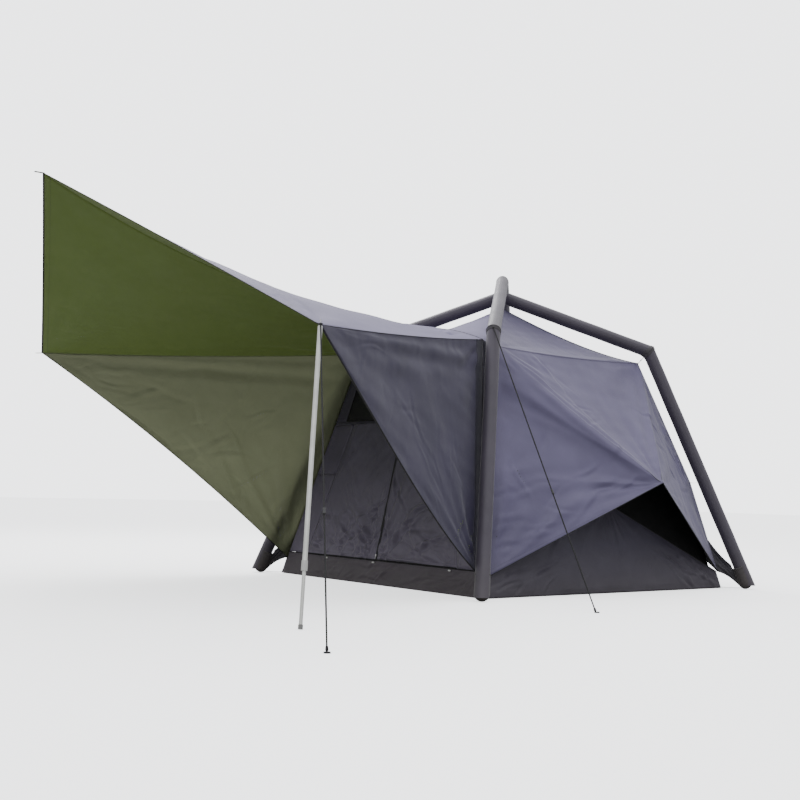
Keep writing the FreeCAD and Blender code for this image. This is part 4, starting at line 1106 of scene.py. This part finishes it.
def beam_skin(name, path, seam_side):
    """The inflated sleeve: mitred tubes with a seam along them, pinched and creased at each bend."""
    sides, rows = 72, 70
    pinch, pinch_run, crease_run = 0.0016, 0.010, 0.09
    seam_height, seam_angle, uneven = 0.0011, 0.055, 0.0006
    above_ground = UP * 0.03
    vertices = []
    plane_normal = unit(np.cross(path[0] - path[1], UP))
    mitres = [UP] + [mitre_at(path, i) for i in range(1, 4)] + [UP]
    ends = [path[0] + above_ground] + path[1:4] + [path[4] + above_ground]
    t = (1 - np.cos(np.linspace(0, math.pi, rows))) / 2
    for i in range(4):
        axis = unit(path[i + 1] - path[i])
        outward = unit(np.cross(axis, plane_normal))
        if outward[2] < 0:
            outward = -outward
        length = np.linalg.norm(ends[i + 1] - ends[i])
        for share in t:
            from_start, from_end = share * length, (1 - share) * length
            bends = [gap for gap, bent in ((from_start, i > 0), (from_end, i < 3)) if bent]
            for angle in around(sides):
                direction = plane_normal * math.sin(angle) + outward * math.cos(angle)
                offset = direction * TUBE_R
                start = ends[i] + offset - axis * (offset @ mitres[i]) / (axis @ mitres[i])
                end = ends[i + 1] + offset - axis * (offset @ mitres[i + 1]) / (axis @ mitres[i + 1])
                inner = max(0.0, -math.cos(angle))
                bulge = 0.0
                for gap in bends:
                    bulge -= pinch * math.exp(-gap / pinch_run)
                    bulge += pinch * inner * math.exp(-gap / crease_run) * math.sin(gap * 150 + angle * 3)
                seam = (angle - seam_side) / seam_angle
                bulge += seam_height * math.exp(-seam * seam)
                bulge += uneven * math.sin(from_start * 17 + angle * 2) * math.sin(angle + from_start * 3)
                vertices.append(start + (end - start) * share + direction * bulge)
    faces = ring_quads(4 * rows, sides) + ring_caps(4 * rows, sides)
    skin = add_mesh(f"{name}_skin", vertices, faces, [BEAM_CLOTH], recalculate=True)
    finish(skin, "tent", "sleeve", f"{name}_sleeve", f"{name}_bladder")


def mitre_welt(name, path, i, radius, lift):
    """Raised seam all round a mitre."""
    axis = unit(path[i] - path[i - 1])
    normal = mitre_at(path, i)
    across = unit(np.cross(axis, normal))
    up = unit(np.cross(across, axis))
    ring = []
    for angle in around(64):
        offset = (across * math.sin(angle) + up * math.cos(angle)) * (TUBE_R + lift)
        ring.append(path[i] + offset - axis * (offset @ normal) / (axis @ normal))
    finish(tube(name, ring, radius, BAND_CLOTH, closed=True), "tent", "band")


def knee_band(name, path, i, *nodes):
    """Reinforcing band sewn over a mitre, with a rolled edge and a raised middle."""
    before, after = unit(path[i] - path[i - 1]), unit(path[i + 1] - path[i])
    mitre = mitre_at(path, i)
    across = unit(np.cross(before, mitre))
    reach, lift, sides = 0.026, 0.0020, 72
    profile = [(-reach, -0.0012), (-reach, lift), (-reach + 0.003, lift + 0.0008), (-0.004, lift)]
    profile.append((0.0, lift + 0.0014))
    profile += [(-at, up) for at, up in profile[-2::-1]]
    vertices = []
    for at, up in profile:
        axis = before if at < 0 else after
        raised = unit(np.cross(across, axis))
        for angle in around(sides):
            offset = (across * math.sin(angle) + raised * math.cos(angle)) * (TUBE_R + up)
            vertices.append(path[i] + offset + axis * (at - (offset @ mitre) / (axis @ mitre)))
    piece = add_mesh(name, vertices, ring_quads(len(profile), sides, True), [BAND_CLOTH], recalculate=True)
    finish(piece, "tent", "band", *nodes)


def build_boot(name, sx, sy, *nodes):
    """Rounded end cup over the beam's foot, with a rolled top hem."""
    foot, knee = leg_ends(sx, sy)
    axis = unit(knee - foot)
    centre = foot + axis * (BOOT_R / axis[2])
    side = unit(np.cross(axis, UP))
    front = np.cross(side, axis)
    r, sides = BOOT_R, 56
    profile = [(r * math.sin(a), -r * math.cos(a)) for a in np.linspace(0.02, math.pi / 2, 14)]
    profile += [(r + 0.0004 * math.sin(h * 160), h) for h in np.linspace(0.008, 0.115, 16)]
    profile += [(r + 0.0026, 0.118), (r + 0.0030, 0.122), (r + 0.0026, 0.126)]
    profile += [(r - 0.0014, 0.128), (r - 0.0016, 0.02)]
    vertices = [centre + axis * up + (side * math.cos(angle) + front * math.sin(angle)) * out
                for out, up in profile for angle in around(sides)]
    faces = ring_quads(len(profile), sides) + ring_caps(len(profile), sides)
    piece = add_mesh(name, vertices, faces, [BOOT_CLOTH], recalculate=True)
    finish(piece, "tent", "boot", *nodes)


def build_beams():
    layouts = (("over_beam", (1, -1), CROSSING_RISE, 2.2), ("under_beam", (1, 1), -CROSSING_RISE, 1.2))
    for name, corner, rise, seam_side in layouts:
        path = beam_path(*corner, rise)
        beam_skin(name, path, seam_side)
        for i in (1, 3):
            shown_for = ["knee_seam_bands"] if name == "over_beam" and i == 1 else []
            knee_band(f"{name}_knee_band_{i}", path, i, *shown_for)
            mitre_welt(f"{name}_knee_welt_{i}", path, i, 0.0022, 0.0032)
        mitre_welt(f"{name}_crown_welt", path, 2, 0.0016, 0.0002)
    build_boot("boot_front_right", 1, -1, "beam_boots")
    build_boot("boot_back_right", 1, 1)
    build_boot("boot_back_left", -1, 1)
    build_boot("boot_front_left", -1, -1)


# ---- floor ----
def build_floor():
    """Groundsheet with a rim turned up against the walls."""
    half, edge_row, rim_height = BASE - 0.012, 0.004, 0.014
    u = np.concatenate([[-half], np.linspace(edge_row - half, half - edge_row, 59), [half]])
    grid = np.stack(np.meshgrid(u, u, indexing="ij"), axis=-1)
    points = np.concatenate([grid, np.full((len(u), len(u), 1), 0.0026)], axis=2)
    edge = np.clip((half - np.abs(grid).max(axis=2)) / 0.1, 0, 1)
    thickness = 0.0022
    points[..., 2] += thickness * edge * (1 + noise(points, 0.4, 301))
    points[..., 2] += np.where(edge > 0, 0, rim_height)
    piece = sheet("floor_cloth", points, UP, [FLOOR_CLOTH], thickness)
    finish(piece, "tent", "floor", "groundsheet")


# ---- straps, cords and corner cloths ----
def leg_inner(z, radius):
    """The beam's inner side at height z, as a distance along X and along Y."""
    lean = math.atan2((FOOT - KNEE[0]) * math.sqrt(2), KNEE[2])
    return FOOT - (FOOT - KNEE[0]) * z / KNEE[2] - radius / math.cos(lean) / math.sqrt(2)


def diagonal(q, z):
    return vec(q, q, z)


def flat_strap(name, q_from, q_to, z, sag):
    width, thickness = 0.020, 0.0016
    t = np.linspace(0, 1, 13)
    path = lerp(diagonal(q_from, z), diagonal(q_to, z), t)
    path[:, 2] -= sag * arch(t)
    for degrees in QUARTERS:
        turned = turn(path, degrees)
        strap = ribbon(f"{name}_{degrees}", turned, UP, width, thickness, PALE_WEBBING)
        finish(strap, "tent", "light_webbing", *([f"{name}s"] if degrees == 0 else []))
        for k, offset in enumerate((-0.007, 0.007)):
            line = turned[:4] + turn(BESIDE, degrees) * offset + UP * thickness
            stitches(f"{name}_stitch_{degrees}_{k}", line, UP, "light_webbing")


def foot_wing(degrees):
    """Cloth wing from the tent's corner edge down to the beam's boot."""
    rows, steps = 24, 60
    boot_top_z = 0.12
    wall_z, beam_z = np.linspace(0.370, 0.130, rows), np.linspace(0.180, 0.030, rows)
    points = np.zeros((rows, steps + 1, 3))
    t = np.linspace(0, 1, steps + 1)
    for i in range(rows):
        start = diagonal(corner_half(wall_z[i]), wall_z[i])
        end = diagonal(leg_inner(beam_z[i], BOOT_R if beam_z[i] < boot_top_z else TUBE_R), beam_z[i])
        points[i] = lerp(start, end, t)
        points[i, :, 2] -= 0.016 * arch(t) * (1 - 2 * i / (rows - 1))
    ease = np.minimum(1, 6 * np.minimum(t, 1 - t))
    along = (np.arange(rows) / (rows - 1))[:, None]
    wave = 0.007 * np.sin(along * 9 + t[None] * 3) + 0.004 * np.sin(along * 21 - t[None] * 5)
    points = points + BESIDE * (wave * ease)[..., None]
    wing = sheet(f"foot_wing_{degrees}", turn(points, degrees), turn(BESIDE, degrees), [WING_CLOTH])
    finish(wing, "tent", "webbing", *(["foot_straps"] if degrees == 0 else []))
    for k in (0, -1):
        binding(f"foot_wing_hem_{degrees}_{k + 1}", turn(points[k], degrees), 0.003)


def toggle(name, middle, direction):
    """A small capsule with a groove round its middle."""
    length, radius, waist = 0.028, 0.0052, 0.72
    straight = length / 2 - radius
    bend = np.linspace(-math.pi / 2 + 0.1, 0, 6)
    ends = [(-straight + radius * math.sin(a), math.cos(a)) for a in bend]
    groove = [(-0.003, 1), (-0.002, waist), (0.002, waist), (0.003, 1)]
    profile = ends + groove + [(-at, share) for at, share in ends[::-1]]
    path = [middle + direction * at for at, share in profile]
    finish(tube(name, path, [radius * share for at, share in profile], PALE_PLASTIC, 20), "tent", "cord")


def cord(name, start, end, radius, steps, *nodes, sag=0.0):
    t = np.linspace(0, 1, steps + 1)
    path = lerp(start, end, t)
    path[:, 2] -= sag * arch(t)
    return finish(tube(name, path, radius, CORD, 12), "tent", "cord", *nodes)


def build_hangers():
    thin = 0.0022
    start, knee = diagonal(EAVE, EAVE_Z), diagonal(KNEE[0], KNEE[2])
    end = knee - unit(knee - start) * KNEE_STANDOFF
    for degrees in QUARTERS:
        a, b = turn(start, degrees), turn(end, degrees)
        cord(f"eave_cord_{degrees}", a, b, thin, 8, *(["eave_hangers"] if degrees == 0 else []))
        toggle(f"eave_toggle_{degrees}", (a + b) / 2, turn(BESIDE, degrees))
    beam_under = CROSSING_Z - CROSSING_RISE - TUBE_R
    toggle_rise = 0.018
    cord("apex_cord", APEX, vec(0, 0, beam_under), thin, 6, "apex_hanger")
    toggle("apex_toggle", APEX + UP * toggle_rise, vec(1, 0, 0))
    flat_strap("waist_strap", WAIST[0], leg_inner(WAIST[2], TUBE_R), WAIST[2], 0.004)
    flat_strap("base_strap", BASE - 0.01, leg_inner(0.010, BOOT_R), 0.008, 0.002)
    for degrees in QUARTERS:
        foot_wing(degrees)


# ---- guy lines ----
def knee_front():
    """Outward direction of the front right leg, square to it."""
    foot, knee = leg_ends(1, -1)
    leg = unit(foot - knee)
    out = vec(1, -1, 0)
    return unit(out - leg * (out @ leg))


def guy_peg(node):
    """Middle of the loop at a guy line's foot, which is the line's corner furthest out and down."""
    reach = GUY_LOOP_R + GUY_CORD_R
    return vec(to_mm(high(node, 0) - reach), to_mm(low(node, 1) + reach), to_mm(low(node, 2) + GUY_CORD_R))


def build_guy(name, start):
    end = guy_peg(f"{name}_guy_line")
    name_of = f"{name}_guy"
    tail = end - unit((end - start) * vec(1, 1, 0)) * GUY_LOOP_R
    cord(f"{name_of}_cord", start, tail, 0.0042, 60, f"{name_of}_line", sag=0.004)
    ring = [end + vec(math.cos(a), math.sin(a), 0) * GUY_LOOP_R for a in around(32)]
    finish(tube(f"{name_of}_loop", ring, 0.0034, CORD, 10, closed=True), "tent", "cord")
    along = unit(tail - start)
    side = unit(np.cross(UP, along))
    knots = ((start + along * 0.006, 0.0075), (tail - along * 0.012, 0.0075), (tail - along * 0.022, 0.0068))
    for k, (place, size) in enumerate(knots):
        path = [place + along * size * at for at in (-1, -0.5, 0.5, 1)]
        radii = [size * share for share in (0.6, 1, 1, 0.6)]
        finish(tube(f"{name_of}_knot_{k}", path, radii, CORD, 12), "tent", "cord")
    low_corner, high_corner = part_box(f"{name_of}_runner")
    slider = build_runner(f"{name_of}_slider", (vec(*low_corner) + vec(*high_corner)) / 2, along, side)
    finish(slider, f"{name}_runner", "black_plastic", f"{name_of}_runner")


def build_runner(name, middle, along, side):
    """Moulded slider with a waist, rounded ends and a bore for the cord."""
    up = unit(np.cross(along, side))
    half = [(0.0, 0.0070, 0.0058), (0.006, 0.0074, 0.0060), (0.0145, 0.0090, 0.0066),
            (0.0165, 0.0078, 0.0060), (0.017, 0.0052, 0.0052), (0.017, 0.0046, 0.0046)]
    outline = [(-at, wide, tall) for at, wide, tall in half[-2:0:-1]] + half
    outline.append((-0.017, 0.0046, 0.0046))
    sides = 32
    vertices = [middle + along * at + side * (wide * math.cos(angle)) + up * (tall * math.sin(angle))
                for at, wide, tall in outline for angle in around(sides)]
    return add_mesh(name, vertices, ring_quads(len(outline), sides, True), [BLACK_PLASTIC], recalculate=True)


# ---- corner tabs ----
def tab_outline(angle):
    """How far the tab's edge lies from its eyelet in a direction."""
    c, s = math.cos(angle), math.sin(angle)
    far_end, near_end = TAB_FROM + TAB_LENGTH - EYELET_OUT, TAB_FROM - EYELET_OUT - 0.012
    limits = [TAB_HALF / abs(s)] if abs(s) > 1e-9 else []
    if abs(c) > 1e-9:
        limits.append((far_end if c > 0 else near_end) / c)
    return min(limits)


def build_tab(number, corner, out, *nodes):
    """A webbing tab with a hole for its eyelet and a box of stitching."""
    side = np.cross(UP, out)
    centre = corner + out * EYELET_OUT
    angles = np.linspace(0, 2 * math.pi, 97)[:-1]
    reach = np.array([tab_outline(angle) for angle in angles])
    rings = [TAB_HOLE_R + (reach - TAB_HOLE_R) * share for share in np.linspace(0, 1, 6)]
    points = np.stack([centre + np.outer(ring * np.cos(angles), out) + np.outer(ring * np.sin(angles), side)
                       for ring in rings], axis=1) + UP * (TAB_THICK / 2)
    count, rows = points.shape[:2]
    shift = count * rows
    vertices = np.concatenate([points.reshape(-1, 3), (points - UP * TAB_THICK).reshape(-1, 3)])
    faces = []
    for i in range(count):
        here, beside = i * rows, (i + 1) % count * rows
        for j in range(rows - 1):
            quad = [here + j, here + j + 1, beside + j + 1, beside + j]
            faces += [quad, [q + shift for q in reversed(quad)]]
        faces.append([here, beside, beside + shift, here + shift])
        last = rows - 1
        faces.append([beside + last, here + last, here + last + shift, beside + last + shift])
    tab = add_mesh(f"corner_tab_{number}", vertices, faces, [WEBBING], smooth=False, recalculate=True)
    finish(tab, "tent", "webbing", *nodes)
    near, far, wide = corner + out * 0.001, corner + out * 0.020, side * 0.010
    box = np.array([near - wide, near + wide, far + wide, far - wide, near - wide]) + UP * (TAB_THICK / 2)
    stitches(f"corner_tab_stitch_{number}", box, UP, "webbing", pitch=0.004, size=(0.003, 0.0009, 0.0006))


# ---- pieces shown as packed ----
CAD_LOOKS = (
    (BLACK_PLASTIC, ("valve_bodies", "over_beam_valve_cap", "under_beam_valve_cap", "prop_brackets")),
    (ROD, ("right_hood_prop", "back_hood_prop", "left_hood_prop")), (EYELET, ("awning_eyelets",)),
    (STEEL, ("door_zip_slider", "pole_spigot")), (POLE, ("pole_upper_tube", "pole_lower_tube")),
    (WHITE_TOGGLE, ("door_toggles",)), (PALE_PLASTIC, ("pole_twist_lock",)), (RUBBER, ("pole_shoe",)),
)


def dress_frame():
    for material, nodes in CAD_LOOKS:
        for node in nodes:
            for place in frame["nodes"][node].material_slots:
                place.material = material


# ---- stage ----
SKY_COLOUR = (0.97, 0.98, 1.0, 1)


def stage_material():
    """Pale ground for the camera that throws little light back up."""
    material, add = new_material("stage_white")
    seen = add("BsdfPrincipled", "BSDF", {"Base Color": (0.86, 0.86, 0.86, 1), "Roughness": 0.9,
                                          "Emission Color": SKY_COLOUR, "Emission Strength": 1.6})
    bounce = add("BsdfDiffuse", "BSDF", {"Color": (0.34, 0.34, 0.33, 1)})
    seen_directly = add("LightPath", "Is Camera Ray", {})
    shader = add("MixShader", "Shader", {"Fac": seen_directly, 1: bounce, 2: seen})
    add("OutputMaterial", None, {"Surface": shader})
    return material


def build_stage():
    size = 40.0
    corners = [(-size, -size, 0), (size, -size, 0), (size, size, 0), (-size, size, 0)]
    floor = add_mesh("stage_floor", corners, [(0, 1, 2, 3)], [stage_material()])
    floor.location.z = -0.0005
    world = bpy.data.worlds.new("studio")
    bpy.context.scene.world = world
    world.use_nodes = True
    add = node_adder(world.node_tree)
    parts = add("SeparateXYZ", None, {"Vector": add("TexCoord", "Generated", {})}).outputs
    by_height = span(add, parts["Z"], 0.24, 2.05, -0.1, 0.9)
    seen_directly = add("LightPath", "Is Camera Ray", {})
    strength = add("Mix", "Result", {"Factor": seen_directly, "A": by_height, "B": 3.4})
    background = world.node_tree.nodes["Background"]
    world.node_tree.links.new(strength, background.inputs["Strength"])
    background.inputs["Color"].default_value = SKY_COLOUR
    area_light("key", (-5.5, 0.0, 7.5), (0, -0.8, 0.8), 5.0, 600)
    area_light("fill", (8.5, -7.5, 3.0), (0, -1, 0.8), 5.0, 70)


def area_light(name, place, target, size, power):
    data = bpy.data.lights.new(name, "AREA")
    data.size = size
    data.energy = power
    lamp = bpy.data.objects.new(name, data)
    lamp.location = place
    lamp.rotation_euler = (Vector(target) - Vector(place)).to_track_quat("-Z", "Y").to_euler()
    bpy.context.scene.collection.objects.link(lamp)


def build_camera():
    heading, pitch, roll = math.radians(52.51), math.radians(4.21), math.radians(1.453)
    forward = vec(-math.sin(heading) * math.cos(pitch), math.cos(heading) * math.cos(pitch), math.sin(pitch))
    level = unit(np.cross(forward, UP))
    upright = np.cross(level, forward)
    right = math.cos(roll) * level + math.sin(roll) * upright
    up = -math.sin(roll) * level + math.cos(roll) * upright
    camera = bpy.data.objects.new("camera", bpy.data.cameras.new("camera"))
    camera.data.sensor_width = 36.0
    camera.data.lens = 54.45
    rotation = Matrix((right, up, -forward)).transposed().to_4x4()
    camera.matrix_world = Matrix.Translation((7.27, -6.60, 0.71)) @ rotation
    bpy.context.scene.collection.objects.link(camera)
    bpy.context.scene.camera = camera


build_beams()
build_vented_walls()
build_roof()
build_awning()
build_front_wall()
build_skirt()
build_door()
build_floor()
build_hangers()
build_guy("knee", leg_ends(1, -1)[1] + knee_front() * GUY_STANDOFF)
build_guy("pole", POLE_CORNER + TAB_WAYS[0] * POLE_GUY_OUT)
build_tab(0, POLE_CORNER, TAB_WAYS[0], "awning_corner_tabs")
build_tab(1, FREE_CORNER, TAB_WAYS[1])
build_tab(2, PEAK, TAB_WAYS[2])
dress_frame()
build_stage()
build_camera()
